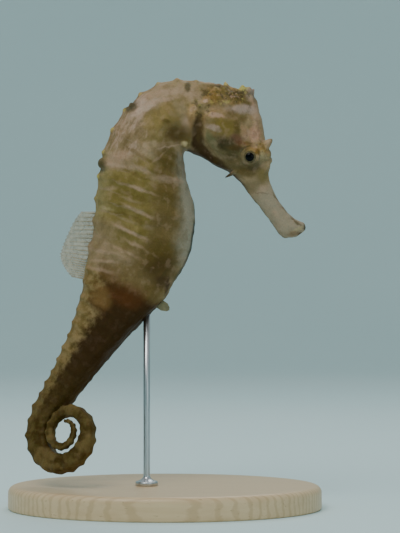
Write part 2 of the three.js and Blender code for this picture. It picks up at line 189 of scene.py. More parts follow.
def tail_bend(distance):
    """Bend per millimetre towards the belly."""
    back = (-math.radians(TAIL_STRAIGHTENS) / TAIL_STRAIGHTENS_OVER
            * math.exp(-distance / TAIL_STRAIGHTENS_OVER))
    part = max(0, distance - CURL_START) / (TAIL_LENGTH - CURL_START)
    radius = CURL_OUTER_RADIUS + (CURL_INNER_RADIUS - CURL_OUTER_RADIUS) * part
    return back + float(smoothstep(distance, CURL_START, CURL_START + CURL_EASE)) / radius


def walk_tail():
    """Centre, tailward, belly and right at each step from the vent to the tip."""
    _, back_x, back_z, belly_x, belly_z, _ = SECTIONS[-1]
    place = np.array(((back_x + belly_x) / 2, 0, (back_z + belly_z) / 2))
    tailward, belly, right = axes_from(math.radians(TAIL_HEADING), float(twist_at(TRUNK_RINGS)))
    frames = []
    for step in range(int(TAIL_LENGTH / TAIL_STEP) + 1):
        distance = step * TAIL_STEP
        frames.append((place, tailward, belly, right))
        bend = tail_bend(distance) * TAIL_STEP
        tailward, belly = turned(tailward, right, bend), turned(belly, right, bend)
        following = min(distance + TAIL_STEP, TAIL_LENGTH)
        turn = float(twist_at(ring_at_distance(following)) - twist_at(ring_at_distance(distance)))
        belly, right = turned(belly, tailward, turn), turned(right, tailward, turn)
        place = place + tailward * TAIL_STEP
        if distance > CURL_START:
            place = place + right * (CURL_DRIFT * TAIL_STEP / (TAIL_LENGTH - CURL_START))
    return np.array(frames)


TAIL_FRAMES = walk_tail()


def tail_size(size, distance):
    left = np.maximum(0, 1 - distance / TAIL_LENGTH)
    root = np.exp(-(distance / TAIL_FLARE_LENGTH) ** TAIL_TAPER_POWER)
    return size["tip"] + size["taper"] * left ** TAIL_TAPER_POWER + size["flare"] * root


def tail_frames_at(ring):
    distance = tail_distance(ring)
    at = distance / TAIL_STEP
    first = np.minimum(at.astype(int), len(TAIL_FRAMES) - 1)
    following = np.minimum(first + 1, len(TAIL_FRAMES) - 1)
    part = (at - first)[:, None, None]
    axes = TAIL_FRAMES[first] * (1 - part) + TAIL_FRAMES[following] * part
    axes[:, 1:] = normalised(axes[:, 1:])
    return axes, tail_size(TAIL_DEPTH, distance), tail_size(TAIL_WIDTH, distance)


def front_frames_at(ring):
    back = np.stack((along(ring, 1), 0 * ring, along(ring, 2)), axis=1)
    belly = np.stack((along(ring, 3), 0 * ring, along(ring, 4)), axis=1)
    across = belly - back
    axes = np.empty((len(ring), 4, 3))
    axes[:, 0] = (back + belly) / 2
    for i, twist in enumerate(twist_at(ring)):
        axes[i, 1:] = axes_from(math.atan2(-across[i, 0], across[i, 2]), float(twist))
    return axes, np.linalg.norm(across, axis=1), along(ring, 5)


def frames_at(ring):
    """Centre and axes (n, 4, 3), depth and width of the sections at n ring numbers."""
    in_tail = ring > TRUNK_RINGS
    axes = np.empty((len(ring), 4, 3))
    depth, width = np.empty(len(ring)), np.empty(len(ring))
    axes[in_tail], depth[in_tail], width[in_tail] = tail_frames_at(ring[in_tail])
    axes[~in_tail], depth[~in_tail], width[~in_tail] = front_frames_at(ring[~in_tail])
    return axes, depth, width


# ---- relief that follows the rings ----------------------------------------------------------

RING_SWELL = 0.16
BODY_STARTS = (0, 0.7)               # rings over which the relief sets in behind the head
TAIL_STARTS = (10, 12)
THROAT_ENDS = (3.5, 6)
THROAT_SMOOTHNESS = 0.92
TRUNK_RING_LENGTH = 4.0
FULL_HALF_DEPTH = 6                  # thinner parts have smaller lines and spines
RING_LINE = {"height": 0.11, "width": 0.34}
RIDGE_LINE = {"height": 0.09, "width": 0.6}

# Each lengthwise ridge: its angle on the trunk, on the tail if it goes on there, spine height.
RIDGES = [(45, 45, 0.16), (90, None, 0.2), (165, 135, 0.38)]


def ring_length(ring):
    """Length of one ring along the middle of the body."""
    in_tail = tail_distance(ring + 0.5) - tail_distance(ring - 0.5)
    return np.where(ring > TRUNK_RINGS, in_tail, TRUNK_RING_LENGTH)


def body_relief(ring, angle, half_depth):
    """Height of rings, ridges and tubercles over the smooth body."""
    fold = np.abs(np.degrees(angle))
    belly_side = 0.5 + 0.5 * np.cos(angle)
    throat = smoothstep(belly_side, 0.25, 0.7) * (1 - smoothstep(ring, *THROAT_ENDS))
    on_body = smoothstep(ring, *BODY_STARTS) * (1 - THROAT_SMOOTHNESS * throat)
    on_tail = smoothstep(ring, *TAIL_STARTS)
    part = ring - np.floor(ring)
    wave = np.sin(np.pi * part) ** 2
    size = np.clip(half_depth / FULL_HALF_DEPTH, 0.25, 1)
    relief = RING_SWELL * (wave - 0.5) * on_body * (1 - 0.6 * smoothstep(belly_side, 0.4, 0.95))
    from_middle = (part - 0.5) * ring_length(ring)
    ring_line = RING_LINE["height"] * bell(from_middle, RING_LINE["width"])
    relief += ring_line * size * on_body * (1 - 0.7 * belly_side)
    reach = 0.3 + 0.28 * size
    for trunk_angle, tail_angle, spine in RIDGES:
        goes_on = 1 if tail_angle else 1 - on_tail
        ridge = trunk_angle + on_tail * ((tail_angle or trunk_angle) - trunk_angle)
        off = np.radians(fold - ridge) * half_depth
        strength = size * on_body * goes_on
        relief += RIDGE_LINE["height"] * strength * bell(off, RIDGE_LINE["width"])
        height = spine * np.minimum(1, 1.25 - ring / LAST_RING)
        relief += height * strength ** 0.5 * bell(off, reach) * bell(from_middle, reach)
    return relief


WAVE_COUNT = 24


def waves(places, wavelength, seed):
    """Smooth irregular lumps, between about -2 and 2, from many crossing sine waves."""
    draw = np.random.default_rng(seed)
    directions = normalised(draw.normal(size=(WAVE_COUNT, 3))) * (2 * np.pi / wavelength)
    phases = draw.uniform(0, 2 * np.pi, WAVE_COUNT)
    total = sum(np.sin(places @ d + phase) for d, phase in zip(directions, phases))
    return total / math.sqrt(WAVE_COUNT / 2)


# ---- the smooth body ------------------------------------------------------------------------

def keel_at(keel, ring):
    return keel["narrow"] * smoothstep(ring, *keel["starts"]) * (1 - smoothstep(ring, *keel["ends"]))


def section_shape(ring, angle):
    """Place on a section's outline, towards the belly and to the right, as parts of its halves."""
    in_tail = smoothstep(ring, *SQUARE_OVER)
    square = SECTION_POWER + (TAIL_SECTION_POWER - SECTION_POWER) * in_tail
    round_ = np.abs(np.cos(angle)) ** square + np.abs(np.sin(angle)) ** square
    radius = round_ ** (-1 / square)
    u = np.cos(angle) * radius
    keel, crest = keel_at(BELLY_KEEL, ring), keel_at(HEAD_CREST, ring)
    narrow = 1 - keel * np.maximum(0, u) ** KEEL_POWER - crest * np.maximum(0, -u) ** KEEL_POWER
    return u, np.sin(angle) * radius * narrow


def smooth_body(frames, ring, angle, reach, forward, grow):
    """Places on the smooth body; ring, reach and forward are per row, angle per place."""
    axes, depth, width = frames
    u, v = section_shape(ring[:, None], angle)
    half_depth = (depth / 2 + grow)[:, None] * reach[:, None]
    half_width = (width / 2 + grow)[:, None] * reach[:, None]
    return (axes[:, None, 0] - axes[:, None, 1] * forward[:, None, None]
            + axes[:, None, 2] * (u * half_depth)[:, :, None]
            + axes[:, None, 3] * (v * half_width)[:, :, None])


# ---- where the skin's mesh has its rows and columns -----------------------------------------

ROWS = 632
COLUMNS = 150
FIRST_RING = -5.89
FINAL_RING = 51.7

# X, distance from the middle plane, Z, extra density, reach.
FINEST = np.array([
    (17.75, 3.5, 73.6, 2.2, 2.8),        # eyes
    (21.2, 2.0, 75.6, 1.4, 2.2),         # brow spines
    (17.0, 0.8, 88.0, 1.6, 2.4),         # coronet
    (-13.4, 1.9, 72.4, 0.8, 1.4),        # knobs of the back
    (-7.0, 1.7, 84.6, 0.8, 1.4),
    (13.6, 2.2, 70.6, 1.0, 1.2),         # cheek hooks
    (28.0, 0.5, 58.5, 0.6, 2.5),         # mouth
    (12.0, 3.5, 78.5, 0.3, 5.0),         # gill covers
])

# Extra rows that close the lips and the tail's tip: ring, part of the section, distance forward.
LIPS = [(-6.0, 0.1, -1.5), (-6.0, 0.2, -1.4), (-6.0, 0.29, -1.05), (-6.0, 0.36, -0.65),
        (-6.0, 0.43, -0.36), (-6.0, 0.53, -0.2), (-6.0, 0.65, -0.14), (-6.0, 0.77, -0.17),
        (-5.985, 0.87, -0.18), (-5.96, 0.945, -0.18), (-5.93, 0.985, -0.15)]
TIP = [(51.7, 0.88, -0.06), (51.7, 0.62, -0.16), (51.7, 0.32, -0.22)]


TRIAL_ROWS = 6000
TRIAL_COLUMNS = 721
HEAD_DENSITY = 0.35                  # how much closer together the head's rows are


def folded_over(vectors):
    """Both sides laid on one, with Y as the distance from the middle plane."""
    return vectors * (1, 0, 1) + np.abs(vectors) * (0, 1, 0)


def density(places):
    total = np.ones(places.shape[:-1])
    folded = folded_over(places)
    for x, y, z, extra, reach in FINEST:
        total += extra * bell(np.linalg.norm(folded - (x, y, z), axis=-1), reach)
    return total


def places_at(ring, angle):
    one = np.ones(len(ring))
    return smooth_body(frames_at(ring), ring, angle, one, 0 * one, -SKIN_INSET)


def choose_rings():
    """Ring numbers of the rows, closest together on the head."""
    ring = np.linspace(FIRST_RING, FINAL_RING, TRIAL_ROWS)
    lines = places_at(ring, np.tile(np.radians((0, 90, 180)), (len(ring), 1)))
    steps = np.linalg.norm(np.diff(lines, axis=0), axis=2) * density(lines[1:])
    in_head = 1 + HEAD_DENSITY * (1 - smoothstep(ring[1:], -0.5, 2))
    distance = np.concatenate(([0], np.cumsum(steps.max(axis=1) * in_head)))
    return np.interp(np.linspace(0, distance[-1], ROWS), distance, ring)


def choose_angles(ring):
    """Angles of the columns of each row, evenly spread over its girth."""
    fine = np.linspace(-np.pi, np.pi, TRIAL_COLUMNS)
    lines = places_at(ring, np.tile(fine, (len(ring), 1)))
    steps = np.linalg.norm(np.diff(lines, axis=1), axis=2) * density(lines[:, 1:])
    distance = np.concatenate((np.zeros((len(ring), 1)), np.cumsum(steps, axis=1)), axis=1)
    wanted = np.arange(COLUMNS) / COLUMNS
    return np.stack([np.interp(wanted * d[-1], d, fine) for d in distance])


def grid_normals(places):
    lengthwise = np.gradient(places, axis=0)
    round_ = np.roll(places, -1, axis=1) - np.roll(places, 1, axis=1)
    return normalised(np.cross(round_, lengthwise))


# ---- the head's own relief ------------------------------------------------------------------

GILL = {"x": 12.5, "z": 78.7, "length": 5.2, "width": 4.3, "tilt": -42, "dome": 0.42,
        "edge": 0.06, "rear_edge": 0.24, "groove": 0.48, "groove_at": 0.85, "groove_width": 0.75}
TURRET = {"y": 2.05, "radius": 2.62, "reach": 4.5, "blend": 0.5, "hollow": 0.2,
          "hollow_edge": (1.15, 1.95), "opening": 1.5, "opening_edge": (0.98, 1.28)}

# Folds of the lids round the eye: distance from its middle, width, height.
LID_FOLDS = [(1.8, 0.16, 0.08), (2.12, 0.14, -0.09), (2.42, 0.15, 0.07), (2.75, 0.15, -0.05)]

# Soft mounds and hollows on each side: X, Z, half length, half width, tilt in degrees, height.
MOUNDS = [
    (18.0, 76.2, 2.6, 0.8, 12, 0.42),        # brow
    (20.4, 75.0, 1.3, 1.2, 0, 0.3),          # in front of it
    (14.6, 75.7, 1.0, 0.9, 0, 0.25),         # behind the eye
    (18.6, 70.9, 1.9, 0.45, 14, 0.2),        # under the eye
    (15.6, 72.0, 2.8, 0.45, -34, 0.2),       # edge of the cheek
    (17.0, 69.0, 1.6, 0.7, -50, 0.12),
    (13.4, 74.2, 2.2, 0.5, -38, -0.22),      # fold between cheek and gill cover
    (19.5, 81.8, 4.4, 0.55, 104, 0.26),      # ridge from brow to coronet
    (16.8, 80.6, 2.4, 1.3, 100, -0.26),      # temple
    (17.6, 85.0, 1.5, 1.0, 110, 0.16),
    (13.0, 85.4, 4.4, 0.6, 8, 0.22),         # ridge of the nape
    (12.6, 83.9, 3.6, 0.5, 4, -0.18),
    (9.6, 86.6, 1.4, 1.2, 0, 0.16),
    (7.9, 84.0, 0.9, 1.3, 20, 0.22),         # collar
    (6.6, 81.2, 0.7, 1.5, 10, 0.16),
    (20.6, 70.4, 1.0, 0.7, 60, 0.12),        # root of the snout
    (24.0, 62.9, 4.6, 0.3, -58, 0.08),       # side of the snout
    (27.9, 57.7, 1.4, 0.2, 14, -0.3),        # corner of the mouth
    (28.9, 59.0, 0.7, 0.5, 60, 0.1),
    (4.2, 76.2, 0.8, 0.7, 0, 0.5),           # knob of the shoulder
]

LAST_KNOB_RING = 8

# Spines drawn out of the skin on each side, or in the middle: foot, tip, radius, bluntness.
SPINES = [
    ((20.2, 1.9, 75.4), (22.45, 2.25, 77.4), 1.35, 1.9),     # brow
    ((19.8, 1.4, 74.2), (22.3, 1.55, 74.3), 2.1, 3.0),       # plate under it
    ((20.6, 0.0, 73.0), (22.5, 0.0, 73.2), 1.5, 2.6),        # nose
    ((14.6, 2.1, 70.6), (12.45, 2.4, 69.4), 0.5, 1.0),       # cheek
    ((12.9, 0.0, 88.2), (12.6, 0.0, 89.7), 0.95, 1.3),       # nape
    ((-6.2, 1.5, 83.7), (-7.35, 1.7, 84.95), 1.3, 2.0),      # knobs of the back
    ((-12.1, 1.8, 72.3), (-14.0, 1.9, 72.45), 1.75, 2.6),
]


def on_ellipse(x, z, centre_x, centre_z, half_length, half_width, tilt):
    """0 at an ellipse's centre and 1 on its edge."""
    c, s = math.cos(math.radians(tilt)), math.sin(math.radians(tilt))
    lengthwise = ((x - centre_x) * c + (z - centre_z) * s) / half_length
    across = ((z - centre_z) * c - (x - centre_x) * s) / half_width
    return np.hypot(lengthwise, across)


def head_lift(x, z, flank):
    """Height of the gill covers, mounds and hollows, in mm."""
    off = on_ellipse(x, z, GILL["x"], GILL["z"], GILL["length"], GILL["width"], GILL["tilt"])
    rear = smoothstep(GILL["x"] - x + 0.35 * (GILL["z"] - z), -2.2, 2.0)
    beyond = (off - 1) * GILL["width"]
    lift = GILL["dome"] * np.clip(1 - off ** 2, 0, 1)
    lift += (GILL["edge"] + GILL["rear_edge"] * rear) * (1 - smoothstep(beyond, -0.45, 0.15))
    lift -= GILL["groove"] * rear * bell(beyond - GILL["groove_at"], GILL["groove_width"])
    for centre_x, centre_z, length, width, tilt, height in MOUNDS:
        lift += height * bell(on_ellipse(x, z, centre_x, centre_z, length, width, tilt), 1)
    return lift * flank


def raise_eye_turret(places, flank):
    """The dome round each eye, with its folds and the round opening of the lids."""
    rho = np.hypot(places[..., 0] - EYE["x"], places[..., 2] - EYE["z"])
    near = (rho < TURRET["reach"]) & (flank > 0)
    dome = TURRET["y"] + np.sqrt(np.maximum(TURRET["radius"] ** 2 - rho ** 2, 0))
    raised = smooth_max(dome, places[..., 1], TURRET["blend"])
    for radius, width, height in LID_FOLDS:
        raised += height * bell(rho - radius, width)
    for part in ("hollow", "opening"):
        raised -= TURRET[part] * (1 - smoothstep(rho, *TURRET[part + "_edge"]))
    places[..., 1] = np.where(near, raised, places[..., 1])


def off_axis(places, foot, axis):
    """Height along an axis from its foot, and distance from it."""
    from_foot = places - foot
    height = from_foot @ axis
    return height, np.linalg.norm(from_foot - height[..., None] * axis, axis=-1)


def draw_spine(places, foot, tip, radius, bluntness):
    """Pull the skin out to a point; a bluntness of 1 is a cone, more is rounder."""
    foot, tip = np.array(foot), np.array(tip)
    length = np.linalg.norm(tip - foot)
    axis = (tip - foot) / length
    height, off = off_axis(places, foot, axis)
    cone = length * np.clip(1 - (off / radius) ** bluntness, 0, 1) ** 1.1
    lift = smooth_max(cone, height, 0.15) - height
    lift = np.where((off < radius) & (height > -1.6), lift * smoothstep(radius - off, 0, 0.2), 0)
    places += lift[..., None] * axis


def raise_coronet(places):
    """A low crown: a flat top with a raised rim of blunt points."""
    lean = math.radians(CORONET["lean"])
    axis = np.array((math.sin(lean), 0, math.cos(lean)))
    foot = np.array((CORONET["x"], 0, CORONET["z"]))
    height, off = off_axis(places, foot, axis)
    from_foot = places - foot
    ahead = from_foot @ np.array((math.cos(lean), 0, -math.sin(lean)))
    point = 0.5 + 0.5 * np.cos(CORONET["points"] * np.arctan2(from_foot[..., 1], ahead))
    reach = CORONET["radius"] * (0.93 + 0.07 * point)
    rim = CORONET["rim_height"] * bell(off - reach + CORONET["rim_inset"], CORONET["rim_width"])
    dip = CORONET["dip"] * bell(off, CORONET["dip_radius"])
    top = CORONET["height"] - 0.25 + rim * point - dip
    wall = 1 - smoothstep(off, reach - 0.2, reach + 0.75)
    crown = -CORONET["root"] + (top + CORONET["root"]) * wall
    lift = smooth_max(crown, height, CORONET["blend"]) - height
    near = (off < CORONET["reach"]) & (height > -2)
    places += np.where(near, lift, 0)[..., None] * axis


def shape_head(places, normals, ring):
    """Relief of the head and the back's knobs, worked out for both sides at once."""
    rows = ring < LAST_KNOB_RING
    side = np.where(places[rows, :, 1] < 0, -1, 1)
    folded, facing = folded_over(places[rows]), folded_over(normals[rows])
    flank = smoothstep(facing[..., 1], 0.25, 0.75)
    folded += facing * head_lift(folded[..., 0], folded[..., 2], flank)[..., None]
    raise_eye_turret(folded, flank)
    for foot, tip, radius, bluntness in SPINES:
        draw_spine(folded, foot, tip, radius, bluntness)
    raise_coronet(folded)
    places[rows] = folded * (1, 0, 1) + folded * (0, 1, 0) * side[..., None]


# ---- the skin -------------------------------------------------------------------------------

def skin_rows():
    """Ring number, part of the section and distance forward of each row of the mesh."""
    rings = choose_rings()
    return np.array(LIPS + [(ring, 1, 0) for ring in rings] + TIP).T


# Uneven lumps of the skin: height, what the nape adds, wavelength, seed.
LUMPS = [(0.03, 0.05, 1.5, 11), (0.05, 0.0, 4.5, 12)]


def skin_places():
    """Ring numbers (n), angles and places (n, m) of the finished skin."""
    ring, reach, forward = skin_rows()
    frames = frames_at(ring)
    angle = choose_angles(ring)
    places = smooth_body(frames, ring, angle, reach, forward, -SKIN_INSET)
    normals = grid_normals(places)
    half_depth = np.tile((frames[1] / 2)[:, None], (1, COLUMNS))
    every_ring = np.tile(ring[:, None], (1, COLUMNS))
    relief = body_relief(every_ring, angle, half_depth)
    nape = bell(places[..., 0] - 11.5, 5) * smoothstep(places[..., 2], 83, 86)
    for height, on_nape, wavelength, seed in LUMPS:
        relief += (height + on_nape * nape) * waves(places, wavelength, seed)
    places += normals * (relief * (reach >= 1)[:, None])[..., None]
    shape_head(places, normals, ring)
    return ring, angle, places


def mesh_object(name, places, faces, material):
    """A smooth-shaded object from places in mm."""
    mesh = bpy.data.meshes.new(name)
    mesh.from_pydata((np.asarray(places) * MM).tolist(), [], faces)
    mesh.shade_smooth()
    mesh.materials.append(material)
    piece = bpy.data.objects.new(name, mesh)
    bpy.context.scene.collection.objects.link(piece)
    return piece


def grid_faces(rows, columns):
    """Quads of a grid whose last column meets the first."""
    here = np.arange((rows - 1) * columns).reshape(rows - 1, columns)
    beside = np.roll(here, -1, axis=1)
    return np.stack((here, beside, beside + columns, here + columns), axis=2).reshape(-1, 4)


# The OFBake map's two strips: left edge and width of the head and trunk, and of the tail.
TRUNK_STRIP = (0.01, 0.6)
TAIL_STRIP = (0.65, 0.34)
UV_MARGIN = 0.01
UV_POLE = 0.004                      # how far in from the map's edge the lips and tail tip meet


def strip_corners(strip, heights):
    """Corners of one row of faces, four of a quad or three of a closing triangle."""
    near = strip[0] + strip[1] * np.arange(COLUMNS) / COLUMNS
    far = near + strip[1] / COLUMNS
    across = (near, far, far, near) if len(heights) == 4 else (near, far, (near + far) / 2)
    return np.stack([np.stack(across, axis=1), np.tile(heights, (COLUMNS, 1))], axis=2).reshape(-1, 2)


def unwrap_skin(mesh, places, vent):
    """OFBake map: head and trunk in one strip, the tail in another, cut along the back."""
    lengths = np.linalg.norm(np.diff(places, axis=0), axis=2).mean(axis=1)
    distance = np.concatenate(([0], np.cumsum(lengths)))
    trunk = (distance[:vent + 1] - distance[0]) / (distance[vent] - distance[0])
    tail = (distance[vent:] - distance[vent]) / (distance[-1] - distance[vent])
    corners = []
    for strip, parts in ((TRUNK_STRIP, trunk), (TAIL_STRIP, tail)):
        heights = UV_MARGIN + (1 - 2 * UV_MARGIN) * parts
        for low, high in zip(heights, heights[1:]):
            corners.append(strip_corners(strip, (low, low, high, high)))
    for strip, edge, pole in ((TRUNK_STRIP, UV_MARGIN, UV_POLE),
                              (TAIL_STRIP, 1 - UV_MARGIN, 1 - UV_POLE)):
        corners.append(strip_corners(strip, (edge, edge, pole)))
    layer = mesh.uv_layers.new(name="OFBake")
    layer.data.foreach_set("uv", np.concatenate(corners).ravel())


def add_attribute(mesh, name, values):
    layer = mesh.attributes.new(name, "FLOAT", "POINT")
    layer.data.foreach_set("value", np.asarray(values, np.float32))


def make_skin(material):
    ring, angle, places = skin_places()
    rows = len(ring)
    flat = places.reshape(-1, 3)
    poles = np.stack((places[0].mean(axis=0), places[-1].mean(axis=0)))
    first_pole, last_pole = rows * COLUMNS, rows * COLUMNS + 1
    column = np.arange(COLUMNS)
    beside = (column + 1) % COLUMNS
    start = (rows - 1) * COLUMNS
    faces = grid_faces(rows, COLUMNS).tolist()
    faces += np.stack((beside, column, np.full(COLUMNS, first_pole)), axis=1).tolist()
    faces += np.stack((start + column, start + beside, np.full(COLUMNS, last_pole)), axis=1).tolist()
    skin = mesh_object("skin", np.concatenate((flat, poles)), faces, material)
    unwrap_skin(skin.data, places, int(np.searchsorted(ring, TRUNK_RINGS)))
    add_attribute(skin.data, "ring",
                  np.concatenate((np.repeat(ring, COLUMNS), (FIRST_RING, FINAL_RING))))
    girth = np.abs(angle).ravel() / np.pi
    add_attribute(skin.data, "girth", np.concatenate((girth, (0.5, 0.5))))
    return skin


# ---- materials ------------------------------------------------------------------------------

def tone(red, green, blue):
    """Linear colour from a 0 to 255 screen colour."""
    return (*[(channel / 255) ** 2.2 for channel in (red, green, blue)], 1)


class Graph:
    """The nodes of one material, where places are in millimetres."""

    def __init__(self, name, **fixed):
        self.material = bpy.data.materials.new(name)
        self.material.use_nodes = True
        self.tree = self.material.node_tree
        self.shader = self.tree.nodes["Principled BSDF"]
        for socket, value in fixed.items():
            self.shader.inputs[socket.replace("_", " ")].default_value = value
        metres = self.tree.nodes.new("ShaderNodeTexCoord").outputs["Object"]
        self.place = self.scaled(metres, 1 / MM, 1 / MM, 1 / MM)

    def put(self, socket, value):
        if isinstance(value, bpy.types.NodeSocket):
            self.tree.links.new(value, socket)
        else:
            socket.default_value = value

    def node(self, kind, inputs, output, **settings):
        node = self.tree.nodes.new("ShaderNode" + kind)
        for setting, value in settings.items():
            setattr(node, setting, value)
        for socket, value in inputs.items():
            self.put(node.inputs[socket], value)
        return node.outputs[output]

    def finish(self, colour, roughness=None, height=None, depth=0):
        """Join up the shader: depth is that of the bumps that height makes, in metres."""
        self.put(self.shader.inputs["Base Color"], colour)
        if roughness is not None:
            self.put(self.shader.inputs["Roughness"], roughness)
        if height is not None:
            self.put(self.shader.inputs["Normal"], self.bump(height, depth))
        return self.material

    def math(self, operation, a, b=0.0, clamp=False):
        return self.node("Math", {0: a, 1: b}, 0, operation=operation, use_clamp=clamp)

    def plus(self, a, b, factor=1.0):
        """a + b * factor"""
        return self.node("Math", {0: b, 1: factor, 2: a}, 0, operation="MULTIPLY_ADD")

    def times(self, *factors):
        product = factors[0]
        for factor in factors[1:]:
            product = self.math("MULTIPLY", product, factor)
        return product

    def scaled(self, vector, *factors):
        return self.node("VectorMath", {0: vector, 1: factors}, 0, operation="MULTIPLY")

    def moved(self, vector, by, factors=(1, 1, 1)):
        """vector + by * factors"""
        return self.node("VectorMath", {0: by, 1: factors, 2: vector}, 0, operation="MULTIPLY_ADD")

    def length(self, vector):
        return self.node("VectorMath", {0: vector}, "Value", operation="LENGTH")

    def attribute(self, name):
        return self.node("Attribute", {}, "Fac", attribute_name=name)

    def noise(self, scale, detail=3, roughness=0.5, place=None, output="Fac"):
        return self.node("TexNoise", {"Vector": place or self.place, "Scale": scale,
                                      "Detail": detail, "Roughness": roughness}, output)

    def cells(self, scale, place=None, feature="F1"):
        return self.node("TexVoronoi", {"Vector": place or self.place, "Scale": scale}, "Distance",
                         feature=feature)

    def step(self, value, low, high, start=0.0, end=1.0):
        """Smooth change from start to end while the value goes from low to high."""
        return self.node("MapRange", {"Value": value, "From Min": low, "From Max": high,
                                      "To Min": start, "To Max": end}, "Result",
                         interpolation_type="SMOOTHSTEP")

    def ramp(self, value, start, end, low=0.0, high=1.0):
        """Even change from start to end while the value goes from low to high."""
        return self.node("MapRange", {"Value": value, "From Min": low, "From Max": high,
                                      "To Min": start, "To Max": end}, "Result")

    def within(self, value, low, high, soft):
        """1 between low and high, fading to 0 over the soft width outside them."""
        return self.times(self.step(value, low - soft, low),
                          self.step(value, high, high + soft, 1.0, 0.0))

    def mix(self, factor, a, b, blend="MIX"):
        return self.node("Mix", {0: factor, 6: a, 7: b}, 2, data_type="RGBA", blend_type=blend)

    def shades(self, value, low, high, first, second):
        """From the first colour to the second while the value goes from low to high."""
        return self.mix(self.step(value, low, high), first, second)

    def patch(self, vector, x, z, half_length, half_width, tilt, soft):
        """1 inside an ellipse seen from the side, fading out at its edge."""
        local = self.node("Mapping", {
            "Vector": vector, "Location": (x, 0, z), "Rotation": (0, -math.radians(tilt), 0),
            "Scale": (half_length, 1, half_width)}, 0, vector_type="TEXTURE")
        return self.step(self.length(local), 1 - soft, 1 + soft, 1.0, 0.0)

    def bump(self, height, depth, normal=None):
        inputs = {"Height": height, "Distance": depth}
        if normal is not None:
            inputs["Normal"] = normal
        return self.node("Bump", inputs, 0)


# Colours of the living animal's markings; some are also laid on as painted shade.
BUFF = tone(154, 131, 100)
PINK = tone(172, 142, 118)
ROSE = tone(190, 150, 130)
LILAC = tone(164, 140, 126)
STROKE = tone(146, 124, 100)
CREAM = tone(182, 162, 120)
YELLOW = tone(190, 176, 96)
ORANGE = tone(128, 96, 42)
COLLAR = tone(160, 126, 84)
OLIVE = tone(118, 100, 54)
BROWN = tone(88, 72, 32)
NAPE_BROWN = tone(106, 88, 48)
CHEEK_GREY = tone(90, 79, 50)
GILL_GREY = tone(104, 99, 68)
BLACK_GREEN = tone(54, 48, 26)
DARK = tone(58, 40, 17)
BLACKISH_AND_SHADE = tone(52, 34, 2)
PLUM = tone(92, 62, 50)
RUST_AND_SHADE = tone(78, 48, 18)
SNOUT = tone(149, 135, 113)
TAN = tone(118, 98, 60)
LOW_TAIL_AND_SHADE = tone(66, 50, 11)
SPOT = tone(76, 69, 46)
BELLY = tone(140, 132, 114)
GREY_LINE = tone(58, 60, 52)

